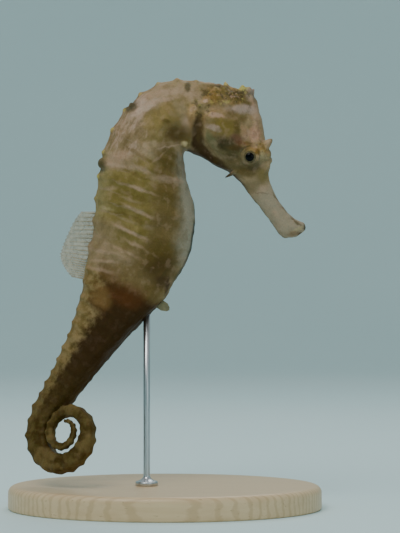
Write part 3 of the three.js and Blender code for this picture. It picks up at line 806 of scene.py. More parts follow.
# Patches seen from the side: X, Z, half length, half width, tilt, softness, colour, strength.
HEAD_PATCHES = [
    (13.7, 80.6, 5.9, 5.4, 0, 0.5, TAN, 0.85),          # side of the head
    (12.8, 87.0, 5.6, 2.1, -6, 0.45, NAPE_BROWN, 0.9),  # nape
    (15.3, 86.8, 1.8, 1.1, -10, 0.6, BLACK_GREEN, 0.55),
    (11.7, 88.7, 1.1, 0.4, -8, 0.6, BLACK_GREEN, 0.7),
    (11.6, 87.5, 1.2, 0.8, 0, 0.6, OLIVE, 0.8),
    (9.9, 85.9, 1.5, 1.6, -10, 0.6, ORANGE, 0.7),
    (8.8, 85.3, 0.7, 0.45, 20, 0.5, tone(196, 160, 136), 0.7),
    (17.2, 84.9, 2.4, 0.6, -8, 0.6, BROWN, 0.55),
    (19.0, 83.0, 1.0, 2.8, 8, 0.6, tone(174, 140, 114), 0.85),  # forehead
    (12.4, 82.9, 4.2, 0.95, 7, 0.5, tone(150, 122, 84), 0.5),   # band under the nape
    (16.3, 83.6, 3.2, 0.95, 0, 0.5, LILAC, 0.8),
    (10.8, 82.3, 1.9, 0.5, -10, 0.5, ROSE, 0.6),
    (13.9, 82.6, 1.0, 0.9, 0, 0.6, BROWN, 0.75),
    (12.4, 79.9, 2.7, 1.6, -10, 0.45, tone(116, 98, 48), 0.9),  # gill cover
    (15.1, 79.8, 0.7, 1.7, 0, 0.6, BROWN, 0.75),
    (10.2, 79.6, 1.7, 0.6, -20, 0.5, tone(162, 138, 120), 0.85),
    (17.0, 80.3, 1.4, 1.3, 0, 0.6, BUFF, 0.7),
    (16.4, 81.6, 0.9, 0.6, 20, 0.6, BROWN, 0.5),
    (17.9, 79.6, 0.6, 0.6, 0, 0.6, BROWN, 0.4),
    (18.9, 78.6, 1.2, 1.8, -10, 0.5, tone(186, 140, 116), 0.85),    # front of the head
    (17.1, 78.2, 0.9, 1.0, 0, 0.6, ROSE, 0.5),
    (15.2, 77.3, 1.3, 1.0, -20, 0.6, tone(106, 72, 58), 0.8),   # behind the eye
    (13.1, 75.9, 2.9, 1.6, -24, 0.55, BLACK_GREEN, 0.92),   # lower gill cover
    (9.7, 77.3, 1.9, 0.65, -62, 0.45, GILL_GREY, 0.92),     # its pale edge
    (11.3, 74.7, 1.5, 0.5, -40, 0.5, GILL_GREY, 0.5),
    (15.0, 73.0, 3.2, 2.6, -30, 0.55, CHEEK_GREY, 0.9),     # cheek
    (17.9, 70.7, 2.4, 1.2, 8, 0.6, BROWN, 0.75),        # under the eye
    # Painted shade of the lid's fold under the eye.
    (18.6, 71.3, 1.6, 0.35, 4, 0.6, DARK, 0.45),
    (19.0, 72.4, 0.6, 0.4, 0, 0.6, GILL_GREY, 0.75),
    (20.8, 70.0, 1.3, 1.7, 0, 0.6, OLIVE, 0.75),        # before the eye
    (20.7, 73.5, 1.1, 0.9, 0, 0.6, CREAM, 0.3),
    (19.6, 75.4, 2.6, 1.2, 6, 0.5, tone(144, 112, 58), 0.85),   # brow
    (18.7, 75.9, 0.65, 0.5, 10, 0.6, tone(182, 142, 110), 0.85),
    (20.4, 74.5, 0.5, 0.5, 0, 0.6, CREAM, 0.45),
    (19.3, 74.7, 0.6, 0.7, 0, 0.6, tone(104, 76, 26), 0.7),
    (17.3, 76.5, 1.0, 0.5, -6, 0.6, tone(100, 70, 22), 0.65),
    (20.0, 75.9, 0.6, 0.45, 0, 0.6, OLIVE, 0.6),
    (16.9, 75.2, 1.0, 0.55, 42, 0.6, tone(84, 62, 30), 0.65),
    (15.0, 75.4, 1.7, 0.6, -6, 0.6, tone(76, 54, 22), 0.6),
    (18.6, 71.9, 0.9, 0.45, 20, 0.6, tone(70, 56, 34), 0.6),
    (18.2, 72.6, 2.2, 1.3, -14, 0.6, tone(94, 84, 60), 0.75),   # lower lid
    (16.3, 73.9, 0.7, 1.7, 0, 0.6, tone(112, 98, 72), 0.65),
    (15.9, 76.3, 1.0, 0.6, -10, 0.6, tone(92, 58, 34), 0.7),    # behind the brow
    (16.5, 79.3, 0.6, 1.2, 10, 0.6, tone(150, 116, 80), 0.6),
    (21.9, 76.6, 1.0, 1.1, 20, 0.5, tone(176, 148, 120), 0.65),     # brow spine
    (22.7, 77.3, 0.35, 0.6, 0, 0.5, BROWN, 0.6),
    (22.3, 75.0, 0.3, 2.0, 0, 0.6, CHEEK_GREY, 0.45),
    (16.4, 88.5, 1.45, 0.85, 8, 0.4, YELLOW, 0.92),     # coronet
    (18.3, 87.0, 1.1, 1.4, 0, 0.5, LILAC, 0.8),
    (19.0, 85.8, 0.7, 0.8, 0, 0.6, BROWN, 0.65),
    (12.7, 89.5, 0.9, 0.7, 0, 0.4, YELLOW, 0.85),       # spine of the nape
    (13.0, 69.7, 1.5, 0.9, 28, 0.5, BLACK_GREEN, 0.95),     # cheek spine
    (18.3, 67.6, 2.6, 1.2, 30, 0.6, CHEEK_GREY, 0.45),  # root of the snout
    (20.3, 66.1, 1.5, 0.14, -4, 0.6, PLUM, 0.35),       # line across the snout
    (20.7, 67.2, 1.2, 0.8, 30, 0.6, PINK, 0.4),
    (23.3, 65.4, 1.0, 0.22, -52, 0.6, CHEEK_GREY, 0.6),     # dashes on the snout's ridge
    (25.2, 62.9, 1.0, 0.22, -52, 0.6, CHEEK_GREY, 0.6),
    (27.5, 60.3, 1.5, 0.26, -41, 0.6, CHEEK_GREY, 0.8),
    (23.3, 62.0, 0.9, 0.5, -50, 0.6, PINK, 0.35),
    (28.0, 58.7, 1.2, 0.28, 24, 0.6, CREAM, 0.55),      # lips
    (29.5, 58.9, 0.75, 0.4, -65, 0.55, BLACK_GREEN, 0.8),
    (27.1, 57.8, 1.2, 0.45, 8, 0.6, tone(134, 102, 72), 0.65),
    (28.5, 57.5, 0.7, 0.3, 10, 0.5, BLACK_GREEN, 0.7),
]

# The dark crescent behind the gill cover, from its top to the throat: painted shade of the hollow groove
# there.
GROOVE_SHADE_PATCHES = [
    (7.6, 82.2, 0.9, 0.9, 60, 0.5, BROWN, 0.85),
    (6.9, 80.0, 2.5, 1.25, 96, 0.4, tone(46, 29, 9), 0.97),
    (6.9, 77.0, 2.3, 1.35, -80, 0.4, DARK, 0.97),
    (8.6, 74.4, 2.2, 1.3, -52, 0.4, DARK, 0.95),
    (11.0, 72.5, 2.8, 1.25, -30, 0.45, DARK, 0.95),
]

# Patches of the neck, the flank and the parts round the vent.
BODY_PATCHES = [
    (4.2, 86.6, 3.6, 1.4, -4, 0.6, PINK, 0.5),          # neck
    (8.6, 84.6, 2.0, 0.9, 32, 0.55, COLLAR, 0.85),      # collar
    (5.9, 82.9, 1.1, 1.7, 6, 0.6, tone(190, 150, 102), 0.8),
    (5.6, 80.6, 0.8, 1.2, 0, 0.6, COLLAR, 0.7),
    (6.3, 83.7, 0.9, 0.5, 30, 0.5, tone(196, 160, 136), 0.7),
    (4.5, 81.0, 0.5, 1.1, -10, 0.6, PINK, 0.6),
    (4.6, 80.6, 0.8, 0.9, 0, 0.6, PINK, 0.55),
    (-0.2, 82.0, 4.0, 2.6, 16, 0.5, OLIVE, 0.75),       # side of the neck
    (-1.8, 81.4, 2.6, 1.6, 22, 0.6, tone(146, 122, 74), 0.6),
    (0.6, 84.0, 1.5, 1.4, 0, 0.6, tone(150, 122, 74), 0.6),
    (3.0, 85.8, 2.2, 0.8, 0, 0.6, OLIVE, 0.65),
    (-7.8, 56.2, 3.8, 2.2, -24, 0.6, tone(112, 97, 46), 0.62),
    (-4.2, 83.8, 3.6, 0.75, 30, 0.5, tone(186, 158, 138), 0.8),     # pale lines over it
    (-5.4, 85.0, 1.8, 0.8, 34, 0.6, tone(188, 160, 142), 0.75),
    (-0.6, 85.4, 3.4, 0.45, 12, 0.5, PINK, 0.7),
    (-1.4, 86.8, 4.0, 0.7, 14, 0.6, PINK, 0.5),
    (2.7, 78.4, 2.6, 1.9, 0, 0.6, tone(76, 57, 18), 0.88),
    (0.3, 81.0, 0.8, 0.5, 0, 0.6, BROWN, 0.75),
    (5.4, 77.0, 1.2, 2.2, 10, 0.6, BROWN, 0.6),
    (1.5, 75.9, 3.0, 0.18, 12, 0.6, PINK, 0.55),        # line behind the shoulder
    (-10.2, 72.9, 2.5, 1.6, 20, 0.6, ROSE, 0.5),        # beside the third spot
    (-7.2, 71.6, 1.6, 0.7, -20, 0.6, PINK, 0.5),
    (0.4, 68.9, 2.8, 0.7, -6, 0.6, PINK, 0.55),
    (-1.2, 73.4, 1.6, 0.25, 40, 0.6, PINK, 0.35),
    (0.8, 72.4, 1.2, 1.0, 0, 0.6, BROWN, 0.5),
    (-4.4, 50.5, 5.4, 4.6, -20, 0.6, tone(110, 91, 60), 0.75),
    (-1.2, 52.3, 3.9, 3.0, 0, 0.6, BROWN, 0.85),        # above the vent
    (-0.9, 50.8, 3.1, 2.0, 20, 0.6, DARK, 0.55),
    (2.4, 49.0, 1.4, 1.4, 0, 0.6, tone(84, 73, 44), 0.6),
    (1.8, 46.3, 0.9, 1.7, -20, 0.6, TAN, 0.8),
    (0.5, 46.4, 0.35, 1.9, -8, 0.6, DARK, 0.75),
    # Round the vent and under the trunk's end: dark skin with painted shade from the trunk laid over it.
    (-0.6, 47.6, 1.7, 1.4, 0, 0.6, DARK, 0.7),          # round the vent
    (-2.6, 45.4, 2.2, 1.8, -30, 0.6, BROWN, 0.7),
    (-7.7, 44.7, 3.7, 2.3, -16, 0.6, tone(82, 50, 20), 0.88),
    (-13.2, 44.4, 2.4, 1.8, -60, 0.55, tone(116, 88, 50), 0.75),
]

# Pale strokes that slant down the flank from the back, one to most rings.
STROKE_PATCHES = [
    (-4.5, 70.9, 2.0, 0.55, -29, 0.65, PINK, 0.55),
    (-9.9, 71.9, 3.0, 0.38, -12, 0.7, PINK, 0.55),
    (-5.0, 66.8, 3.9, 0.28, -19, 0.75, PINK, 0.5),
    (-5.2, 66.9, 1.5, 0.42, -24, 0.65, PINK, 0.55),
    (-11.2, 67.1, 1.4, 0.38, -2, 0.75, PINK, 0.45),
    (-6.9, 64.6, 2.2, 0.32, -16, 0.75, STROKE, 0.5),
    (-5.2, 62.2, 3.2, 0.38, -26, 0.7, PINK, 0.68),
    (-11.9, 62.9, 1.2, 0.35, -14, 0.7, CREAM, 0.45),
    (-7.8, 60.5, 2.4, 0.3, -20, 0.75, STROKE, 0.45),
    (-7.2, 58.1, 3.3, 0.38, -25, 0.7, PINK, 0.75),
    (-3.4, 58.9, 1.0, 0.5, -10, 0.75, STROKE, 0.5),
    (-6.1, 55.3, 2.0, 0.34, -27, 0.75, PINK, 0.5),
    (-8.4, 54.0, 3.5, 0.34, -25, 0.7, PINK, 0.42),
    (-13.0, 54.0, 2.4, 0.36, -11, 0.7, PINK, 0.52),
    (-12.5, 51.9, 2.5, 0.38, -4, 0.7, PINK, 0.55),
    (-13.4, 50.1, 2.4, 0.38, -14, 0.7, PINK, 0.45),
]

# The three spots of each side and the knob of the shoulder: X, Y, Z, radii, colour, strength.
SPOTS = [
    (4.8, 2.6, 88.4, 0.75, 2.4, 1.35, SPOT, 0.8),
    (-6.9, 1.7, 84.0, 1.7, 2.1, 1.6, SPOT, 0.97),
    (-13.2, 1.9, 72.1, 1.5, 2.0, 1.7, SPOT, 0.88),
    (4.0, 3.6, 76.3, 0.85, 1.5, 0.75, CREAM, 0.95),
]

# Where the nape, the collar, the forehead and the brow are flecked: X, Z, half sizes, strength.
FLECKED = [(12.6, 86.6, 5.6, 2.4, 1.0), (8.0, 84.0, 2.6, 2.6, 1.0), (18.4, 79.4, 1.7, 3.4, 0.4),
           (19.2, 74.8, 3.4, 2.2, 0.6)]
ROSE_DOTS = (14.0, 86.6, 1.6, 1.5)


COLOUR_SHIFT = 0.4                   # how far a patch moves with the colour under it
STROKE_THICKNESS = 0.1               # as a part of the way from one stroke to the next
SPOT_SHAKE = 0.5


class Skin(Graph):
    """The skin's nodes, with the colour painted so far."""

    def __init__(self):
        super().__init__("seahorse_skin", Roughness=0.5, Specular_IOR_Level=0.1,
                         Subsurface_Weight=0.1, Subsurface_Scale=0.0015,
                         Coat_Weight=0.03, Coat_Roughness=0.35)
        self.ring = self.attribute("ring")
        self.girth = self.attribute("girth")         # 0 at the belly's middle, 1 at the back's
        self.blotches = self.noise(0.28)
        self.side_view = self.scaled(self.place, 1, 0, 1)
        self.colour = self.shades(self.blotches, 0.42, 0.6, BUFF, tone(136, 116, 74))

    def paint(self, over, strength, *masks):
        """Lay a colour over what is painted so far, where all the masks are 1."""
        self.colour = self.mix(self.times(*masks, strength), self.colour, over)

    def zone(self, first, last, soft, low, high, girth=None):
        """1 from the first ring to the last, on the side where the girth has passed high."""
        return self.times(self.within(self.ring, first, last, soft),
                          self.step(girth or self.girth, low, high))

    def warped(self, amount, scale):
        """Place seen from the side, shaken a little so that painted edges aren't smooth."""
        shake = self.moved((-0.5, -0.5, -0.5), self.noise(scale, 3, 0.6, output="Color"))
        return self.moved(self.side_view, shake, (amount, 0, amount))

    def paint_patches(self, patches, vector, where):
        """Paint patches one after the other; each gives way a little to the colours under it."""
        for x, z, length, width, tilt, soft, over, strength in patches:
            shaken = self.moved(vector, self.colour, (COLOUR_SHIFT, 0, COLOUR_SHIFT))
            self.paint(over, strength, self.patch(shaken, x, z, length, width, tilt, soft), where)

    def strokes(self, shifted, middle, scatter, half_length):
        """Tapered strokes across the flank, one to each whole step of shifted."""
        off = self.math("SUBTRACT", 0.5, self.math("PINGPONG", shifted, 0.5))
        chance = self.node("TexWhiteNoise", {"W": self.math("FLOOR", shifted)}, "Value",
                           noise_dimensions="1D")
        centre = self.plus(middle - scatter / 2, chance, scatter)
        away = self.math("DIVIDE", self.math("SUBTRACT", self.girth, centre), half_length)
        taper = self.math("SUBTRACT", 1.0, self.times(away, away), clamp=True)
        over = self.plus(off, taper, -STROKE_THICKNESS)
        return self.times(self.step(over, -0.04, 0.06, 1.0, 0.0), self.step(taper, 0.0, 0.45))


def paint_spots(skin):
    """Spots at the same place on both sides, found from the distance to the middle plane."""
    sides = skin.node("VectorMath", {0: skin.place}, 0, operation="ABSOLUTE")
    folded = skin.moved(skin.side_view, sides, (0, 1, 0))
    folded = skin.moved(folded, skin.noise(1.2, 2, output="Color"), (SPOT_SHAKE,) * 3)
    for x, y, z, radius_x, radius_y, radius_z, over, strength in SPOTS:
        local = skin.node("Mapping", {
            "Vector": folded, "Location": [middle + SPOT_SHAKE / 2 for middle in (x, y, z)],
            "Scale": (radius_x, radius_y, radius_z)}, 0, vector_type="TEXTURE")
        skin.paint(over, strength, skin.step(skin.length(local), 0.55, 1.25, 1.0, 0.0))


def ring_strokes(skin):
    """Faint pinkish strokes that lie along the rings, lower towards the belly, and a painted shadow line
    just below each.
    """
    lowered = skin.plus(skin.ring, skin.math("MINIMUM", skin.girth, 0.6), 0.9)
    wander = skin.plus(skin.times(skin.noise(0.16, 1), 0.36), skin.noise(0.55, 2), 0.34)
    shifted = skin.math("SUBTRACT", skin.plus(lowered, wander), 1.155)
    on_rings = skin.within(skin.ring, 5.6, 10.0, 0.5)
    faint = skin.strokes(skin.times(shifted, 2.0), 0.62, 0.3, 0.13)
    skin.paint(STROKE, 0.4, faint, on_rings)
    # Painted shadow: a brown line just below each stroke.
    stroke_shadow = skin.strokes(skin.math("SUBTRACT", shifted, 0.17), 0.54, 0.05, 0.15)
    skin.paint(BROWN, 0.35, stroke_shadow, on_rings)


def back_streaks(skin):
    """Soft pinkish lengthwise streaks on the upper back, and pale tips on its tubercles."""
    across = skin.plus(skin.times(skin.girth, 26.0), skin.noise(0.45, 1), 1.6)
    lengthwise = skin.node("CombineXYZ", {"X": skin.times(skin.ring, 1.3), "Y": across}, 0)
    streaks = skin.noise(1.0, 2, place=lengthwise)
    where = skin.zone(2.4, 6.0, 0.8, 0.48, 0.62)
    skin.paint(skin.shades(skin.blotches, 0.4, 0.6, tone(158, 132, 108), tone(134, 111, 82)),
               0.85, where)
    skin.paint(BROWN, 0.4, where, skin.step(streaks, 0.46, 0.34))
    skin.paint(tone(178, 148, 128), 0.65, where, skin.step(streaks, 0.5, 0.66))
    ring_middles = skin.step(skin.math("PINGPONG", skin.ring, 0.5), 0.36, 0.44)
    skin.paint(skin.shades(skin.blotches, 0.45, 0.6, YELLOW, tone(176, 148, 96)), 0.8,
               skin.within(skin.girth, 0.9, 0.935, 0.03), skin.step(skin.ring, 9.0, 7.0),
               ring_middles, skin.step(skin.ring, -0.2, 0.2))


def trunk_colours(skin):
    """An olive belt, pinkish streaks and strokes, a brown flank and a clear belly."""
    belt = skin.shades(skin.blotches, 0.4, 0.6, tone(112, 97, 46), tone(128, 110, 63))
    skin.paint(belt, 0.92, skin.zone(6.3, 9.5, 0.7, 0.36, 0.46))
    skin.paint(tone(146, 131, 90), 0.6, skin.zone(6.0, 9.8, 0.7, 0.68, 0.82))
    skin.paint(tone(134, 113, 84), 0.75, skin.zone(9.6, 11.0, 0.5, 0.5, 0.64))
    back_streaks(skin)
    skin.paint(BUFF, 0.7, skin.zone(-0.2, 3.0, 0.5, 0.56, 0.7))
    ring_strokes(skin)

    ragged = skin.plus(skin.girth, skin.noise(0.4), 0.1)
    flank = skin.times(skin.within(skin.ring, 4.4, 10.6, 0.8),
                       skin.within(ragged, 0.3, 0.42, 0.12))
    skin.paint(BROWN, 0.85, flank)
    bands = skin.math("PINGPONG", skin.plus(skin.ring, skin.blotches, 0.6), 0.5)
    skin.paint(TAN, 0.4, flank, skin.step(bands, 0.22, 0.42))
    skin.paint(BELLY, 0.95, skin.zone(4.2, 9.8, 0.8, 0.36, 0.2, ragged))
    skin.paint(tone(128, 112, 92), 0.7, skin.zone(1.0, 5.4, 1.0, 0.32, 0.14, ragged))
    broken = skin.step(skin.noise(0.8, 2), 0.34, 0.48)
    skin.paint(GREY_LINE, 0.85, skin.zone(6.0, 10.3, 0.4, 0.05, 0.028), broken)
    skin.paint(GREY_LINE, 0.75, skin.zone(8.6, 10.6, 0.4, 0.095, 0.06))


def tail_colours(skin):
    """Mottled tan along the back of the tail, blackish olive towards the belly with a reddish edge,
    partly its own colour and partly painted shade under the trunk, and darker down the tail.
    """
    ring = skin.ring
    mottle = skin.noise(0.7, 4, 0.6)
    skin.paint(skin.shades(mottle, 0.4, 0.62, tone(110, 90, 50), tone(134, 112, 74)), 0.92,
               skin.step(ring, 10.6, 11.8))
    side = skin.plus(skin.math("SUBTRACT", skin.girth, 0.15), mottle, 0.3)
    # Painted shade over the tail's own dark colour: blackish towards the belly below the trunk's end,
    # with a reddish edge.
    skin.paint(BLACKISH_AND_SHADE, 0.97, skin.step(side, 0.64, 0.46), skin.step(ring, 11.0, 12.0))
    skin.paint(RUST_AND_SHADE, 0.6, skin.within(side, 0.5, 0.6, 0.1), skin.within(ring, 11.2, 13.5, 0.8))
    # The lower tail darker olive brown, partly its own colour and partly painted shade.
    skin.paint(skin.shades(mottle, 0.4, 0.62, LOW_TAIL_AND_SHADE, tone(84, 69, 32)), 0.85,
               skin.step(ring, 16, 25))
    bands = skin.math("PINGPONG", skin.plus(skin.blotches, ring, 0.22), 0.5)
    skin.paint(TAN, 0.5, skin.step(ring, 20, 26), skin.step(bands, 0.28, 0.44))


def head_colours(skin):
    """Patches of the head over buff, a plain pinkish grey snout, and the body's patches."""
    ring, painted = skin.ring, skin.warped(1.3, 0.7)
    skin.paint(BUFF, 0.85, skin.step(ring, 0.3, -0.3))
    skin.paint(SNOUT, 0.97, skin.step(ring, -2.8, -4.0))
    # Painted shade in the groove behind the gill cover.
    skin.paint_patches(GROOVE_SHADE_PATCHES, painted, skin.step(ring, 2.0, 1.4))
    skin.paint_patches(HEAD_PATCHES, painted, skin.step(ring, 1.3, 0.8))
    skin.paint(DARK, 0.9, skin.zone(-2.8, 0.2, 0.3, 0.21, 0.08))
    # Painted shade along the underside of the snout.
    skin.paint(CHEEK_GREY, 0.6, skin.step(ring, -2.6, -3.1), skin.step(skin.girth, 0.18, 0.05))
    skin.paint_patches(BODY_PATCHES, painted, skin.step(ring, 0.0, 0.4))
    skin.paint_patches(STROKE_PATCHES, skin.warped(1.0, 0.45), skin.step(skin.girth, 0.36, 0.44))


def paint_flecks(skin):
    """Busy flecks of brown, ochre and pink on the nape, the collar and the front of the head."""
    where = 0.0
    for x, z, length, width, share in FLECKED:
        spot = skin.times(skin.patch(skin.side_view, x, z, length, width, 0, 0.35), share)
        where = skin.math("MAXIMUM", where, spot)
    fleck = skin.noise(0.95, 3, 0.55)
    skin.paint(BLACK_GREEN, 0.6, where, skin.step(fleck, 0.47, 0.36))
    skin.paint(COLLAR, 0.6, where, skin.step(fleck, 0.53, 0.64))
    other = skin.noise(1.3, 2, place=skin.moved(skin.place, (20, 0, 0)))
    skin.paint(YELLOW, 0.35, where, skin.step(other, 0.54, 0.74))
    uneven = skin.moved(skin.place, skin.noise(1.6, 2, output="Color"))
    dots = skin.step(skin.cells(1.1, uneven), 0.4, 0.12)
    skin.paint(ROSE, 0.48, dots, skin.patch(skin.side_view, *ROSE_DOTS, 0, 0.4))


# Depths of the skin's fine relief, in metres.
GRANULES = 0.00005
FINE_GRAIN = 0.00004
FINE_FOLDS = 0.00014


def skin_material():
    skin = Skin()
    ring = skin.ring
    trunk_colours(skin)
    tail_colours(skin)
    head_colours(skin)
    paint_flecks(skin)
    paint_spots(skin)
    # Soft light and dark mottling over everything, least on the snout and the tail.
    mottle = skin.noise(0.6, 2)
    calm = skin.times(skin.step(ring, -3.4, -2.6, 0.25, 1.0), skin.step(ring, 10.5, 12, 1.0, 0.18))
    skin.paint(BROWN, 0.26, skin.step(mottle, 0.5, 0.34), calm)
    skin.paint(PINK, 0.2, skin.step(mottle, 0.52, 0.68), calm)
    grain = skin.ramp(skin.noise(3.0, 3, 0.6), 0.9, 1.09, 0.3, 0.7)
    granules = skin.bump(skin.cells(2.4, feature="SMOOTH_F1"), GRANULES)
    fine = skin.bump(skin.noise(5.0, 3, 0.6), FINE_GRAIN, granules)
    folds = skin.bump(skin.noise(1.0, 3, 0.55), FINE_FOLDS, fine)
    skin.put(skin.shader.inputs["Normal"], folds)
    return skin.finish(skin.mix(1.0, skin.colour, grain, "MULTIPLY"), skin.ramp(mottle, 0.42, 0.66))


def eye_material():
    """Black pupil, a little off the eye's middle, and an olive grey iris under a wet coat."""
    graph = Graph("eye", Roughness=0.2, Specular_IOR_Level=0.08, Coat_Weight=0.06,
                  Coat_Roughness=0.04)
    centre = (0.08 - EYE["x"], 0, 0.02 - EYE["z"])
    off = graph.length(graph.moved(centre, graph.place, (1, 0, 1)))
    iris = graph.shades(graph.noise(2.2), 0.35, 0.65, tone(86, 77, 52), tone(110, 100, 74))
    return graph.finish(graph.shades(off, 0.86, 0.96, tone(5, 4, 3), iris))


def fin_material(name, alpha, low, high):
    """Fin membrane or rays: pale, flecked, and seen through as far as alpha says."""
    graph = Graph(name, Roughness=0.4, Alpha=alpha)
    return graph.finish(graph.shades(graph.noise(1.1), 0.35, 0.65, low, high))


def wood_material():
    """Oiled beech: long grain along X, with short dark flecks."""
    graph = Graph("base_wood", Roughness=0.42, Coat_Weight=0.15, Coat_Roughness=0.25)
    figure = graph.noise(1.0, 6, 0.62, graph.scaled(graph.place, 0.035, 0.55, 0.55))
    lines = graph.node("TexWave", {"Vector": graph.scaled(graph.place, 0.012, 0.3, 0.22),
                                   "Scale": 1.0, "Distortion": 5.0, "Detail": 4.0,
                                   "Detail Scale": 1.2}, "Fac", bands_direction="Y")
    colour = graph.mix(figure, tone(196, 164, 122), tone(222, 196, 156))
    colour = graph.mix(graph.times(graph.step(lines, 0.55, 0.95), 0.35), colour, tone(168, 132, 92))
    flecks = graph.noise(1.0, 2, place=graph.scaled(graph.place, 0.35, 3.0, 3.0))
    colour = graph.mix(graph.times(graph.step(flecks, 0.66, 0.74), 0.5), colour, tone(140, 104, 68))
    return graph.finish(colour, graph.ramp(figure, 0.34, 0.52), flecks, depth=0.00003)


def steel_material():
    """Rod steel, brushed along its length."""
    graph = Graph("rod_steel", Metallic=1.0, Roughness=0.28)
    brushed = graph.noise(1.0, 4, place=graph.scaled(graph.place, 6, 6, 0.25))
    return graph.finish(graph.mix(brushed, tone(176, 178, 180), tone(206, 208, 210)),
                        graph.ramp(brushed, 0.2, 0.4), brushed, depth=0.00001)


def floor_material():
    """Pale matt floor and backdrop with very faint clouds."""
    graph = Graph("floor", Roughness=0.8)
    clouds = graph.noise(0.006, 4)
    return graph.finish(graph.mix(clouds, tone(203, 227, 228), tone(211, 232, 231)))


# ---- eyes, fins and stand -------------------------------------------------------------------

EYE_ROWS = 28
EYE_COLUMNS = 48
EYE_INSET = 0.12                     # the eyeball lies this far inside the solid's
CORNEA = 0.1                         # how far its clear front stands out

BASE_SEGMENTS = 160
ROD_SEGMENTS = 40

FIN_THICKNESS = 0.1
FIN_ROWS = 12
COLUMNS_PER_RAY = 6
RAY_SIDES = 6
RAY_RADIUS = 0.13
RAY_TAPER = 0.7
RAY_REACH = 0.97                     # part of the fin's height that its rays go up to

DORSAL_FIN = {"from": 9.1, "to": 12.4, "height": 6.2, "lean": 0.28, "rays": 20}
ANAL_FIN = {"from": 11.15, "to": 11.75, "height": 2.5, "lean": 0.1, "rays": 4}
PECTORAL_FIN = {"x": 6.3, "y": 4.3, "z": 80.6, "base": 3.6, "length": 5.4, "spread": 62,
                "heading": 205, "flare": 20, "rays": 16}


def tube_faces(rows, columns):
    """Faces of a closed tube: quads between its rows, then its first and last ends."""
    last = (rows - 1) * columns
    ends = [list(range(columns))[::-1], list(range(last, last + columns))]
    return grid_faces(rows, columns).tolist() + ends


def make_eye(side):
    """An eyeball with a slightly raised clear front, looking outwards."""
    places = []
    for polar in np.linspace(0.02, np.pi - 0.02, EYE_ROWS):
        front = CORNEA * (1 - float(smoothstep(polar, 0.3, 0.75)))
        reach = EYE["radius"] - EYE_INSET + front
        for turn in np.arange(EYE_COLUMNS) / EYE_COLUMNS * 2 * np.pi:
            places.append((
                EYE["x"] + reach * math.sin(polar) * math.cos(turn),
                -side * (EYE["y"] + reach * math.cos(polar)),
                EYE["z"] + side * reach * math.sin(polar) * math.sin(turn)))
    name = "eyeball_" + ("right" if side > 0 else "left")
    return mesh_object(name, places, tube_faces(EYE_ROWS, EYE_COLUMNS), eye_material())


def median_fin_edge(fin, side):
    """Places on a fin of the middle plane, on the back (side -1) or the belly (side 1)."""
    def edge_at(t, rise):
        ring = np.array([fin["from"] + (fin["to"] - fin["from"]) * t])
        axes, depth, _ = frames_at(ring)
        centre, tailward, belly, right = axes[0]
        outline = math.sin(math.pi * (0.1 + 0.8 * t)) ** 0.6
        scallop = 1 - 0.05 * abs(math.sin(math.pi * t * fin["rays"])) * rise
        tall = fin["height"] * outline * rise * scallop
        sway = 0.25 * math.sin(5 * t + 1) * rise
        place = (centre + belly * side * (depth[0] / 2 - 0.1 + tall)
                 + tailward * fin["lean"] * tall + right * sway)
        return place, right
    return edge_at


def pectoral_fin_edge(side):
    """Places on a fan that spreads backwards from the gill edge."""
    def edge_at(t, rise):
        fin = PECTORAL_FIN
        u = t - 0.5
        out = rise * fin["length"] * (1 - 1.2 * u * u)
        turn = math.radians(fin["heading"] + u * fin["spread"])
        flare = math.radians(fin["flare"])
        reach = out * math.cos(flare)
        stand = fin["y"] + 0.1 + out * math.sin(flare) + 0.12 * math.sin(9 * u) * rise
        place = np.array((fin["x"] + 0.25 * fin["base"] * u + reach * math.cos(turn),
                          -side * stand, fin["z"] - fin["base"] * u + reach * math.sin(turn)))
        return place, np.array((0, -side * 1.0, 0))
    return edge_at


def fin_membrane(edge_at, columns):
    """Places and faces of a fin's thin closed sheet."""
    places = []
    for face in (1, -1):
        for i in range(columns + 1):
            for j in range(FIN_ROWS + 1):
                place, across = edge_at(i / columns, j / FIN_ROWS)
                places.append(place + across * face * FIN_THICKNESS / 2)

    def index(face, i, j):
        return (face * (columns + 1) + i) * (FIN_ROWS + 1) + j

    faces = []
    for i in range(columns):
        for j in range(FIN_ROWS):
            cell = ((i, j), (i + 1, j), (i + 1, j + 1), (i, j + 1))
            faces.append([index(0, *corner) for corner in cell])
            faces.append([index(1, *corner) for corner in cell[::-1]])
    rim = ([(i, 0) for i in range(columns)] + [(columns, j) for j in range(FIN_ROWS)]
           + [(i, FIN_ROWS) for i in range(columns, 0, -1)] + [(0, j) for j in range(FIN_ROWS, 0, -1)])
    for here, there in zip(rim, rim[1:] + rim[:1]):
        faces.append([index(0, *here), index(1, *here), index(1, *there), index(0, *there)])
    return places, faces


def fin_ray(edge_at, t):
    """Places of a tapered rod along one ray of a fin."""
    places = []
    for j in range(FIN_ROWS + 1):
        rise = j / FIN_ROWS * RAY_REACH
        place, across = edge_at(t, rise)
        ahead = normalised(edge_at(min(t + 0.01, 1), rise)[0] - edge_at(t - 0.01, rise)[0])
        radius = RAY_RADIUS * (1 - RAY_TAPER * rise)
        for k in range(RAY_SIDES):
            turn = 2 * np.pi * k / RAY_SIDES
            places.append(place + radius * (across * math.cos(turn) + ahead * math.sin(turn)))
    return places


def fin_piece(name, edge_at, rays, materials):
    """A fin from edge_at(t, rise), which gives a place and the direction across the fin."""
    places, faces = fin_membrane(edge_at, COLUMNS_PER_RAY * rays)
    slots = [0] * len(faces)
    for ray in range(rays):
        start = len(places)
        places += fin_ray(edge_at, (ray + 0.5) / rays)
        rod = [[start + corner for corner in face] for face in tube_faces(FIN_ROWS + 1, RAY_SIDES)]
        faces += rod
        slots += [1] * len(rod)
    piece = mesh_object(name, places, faces, materials[0])
    piece.data.materials.append(materials[1])
    piece.data.polygons.foreach_set("material_index", slots)
    return piece


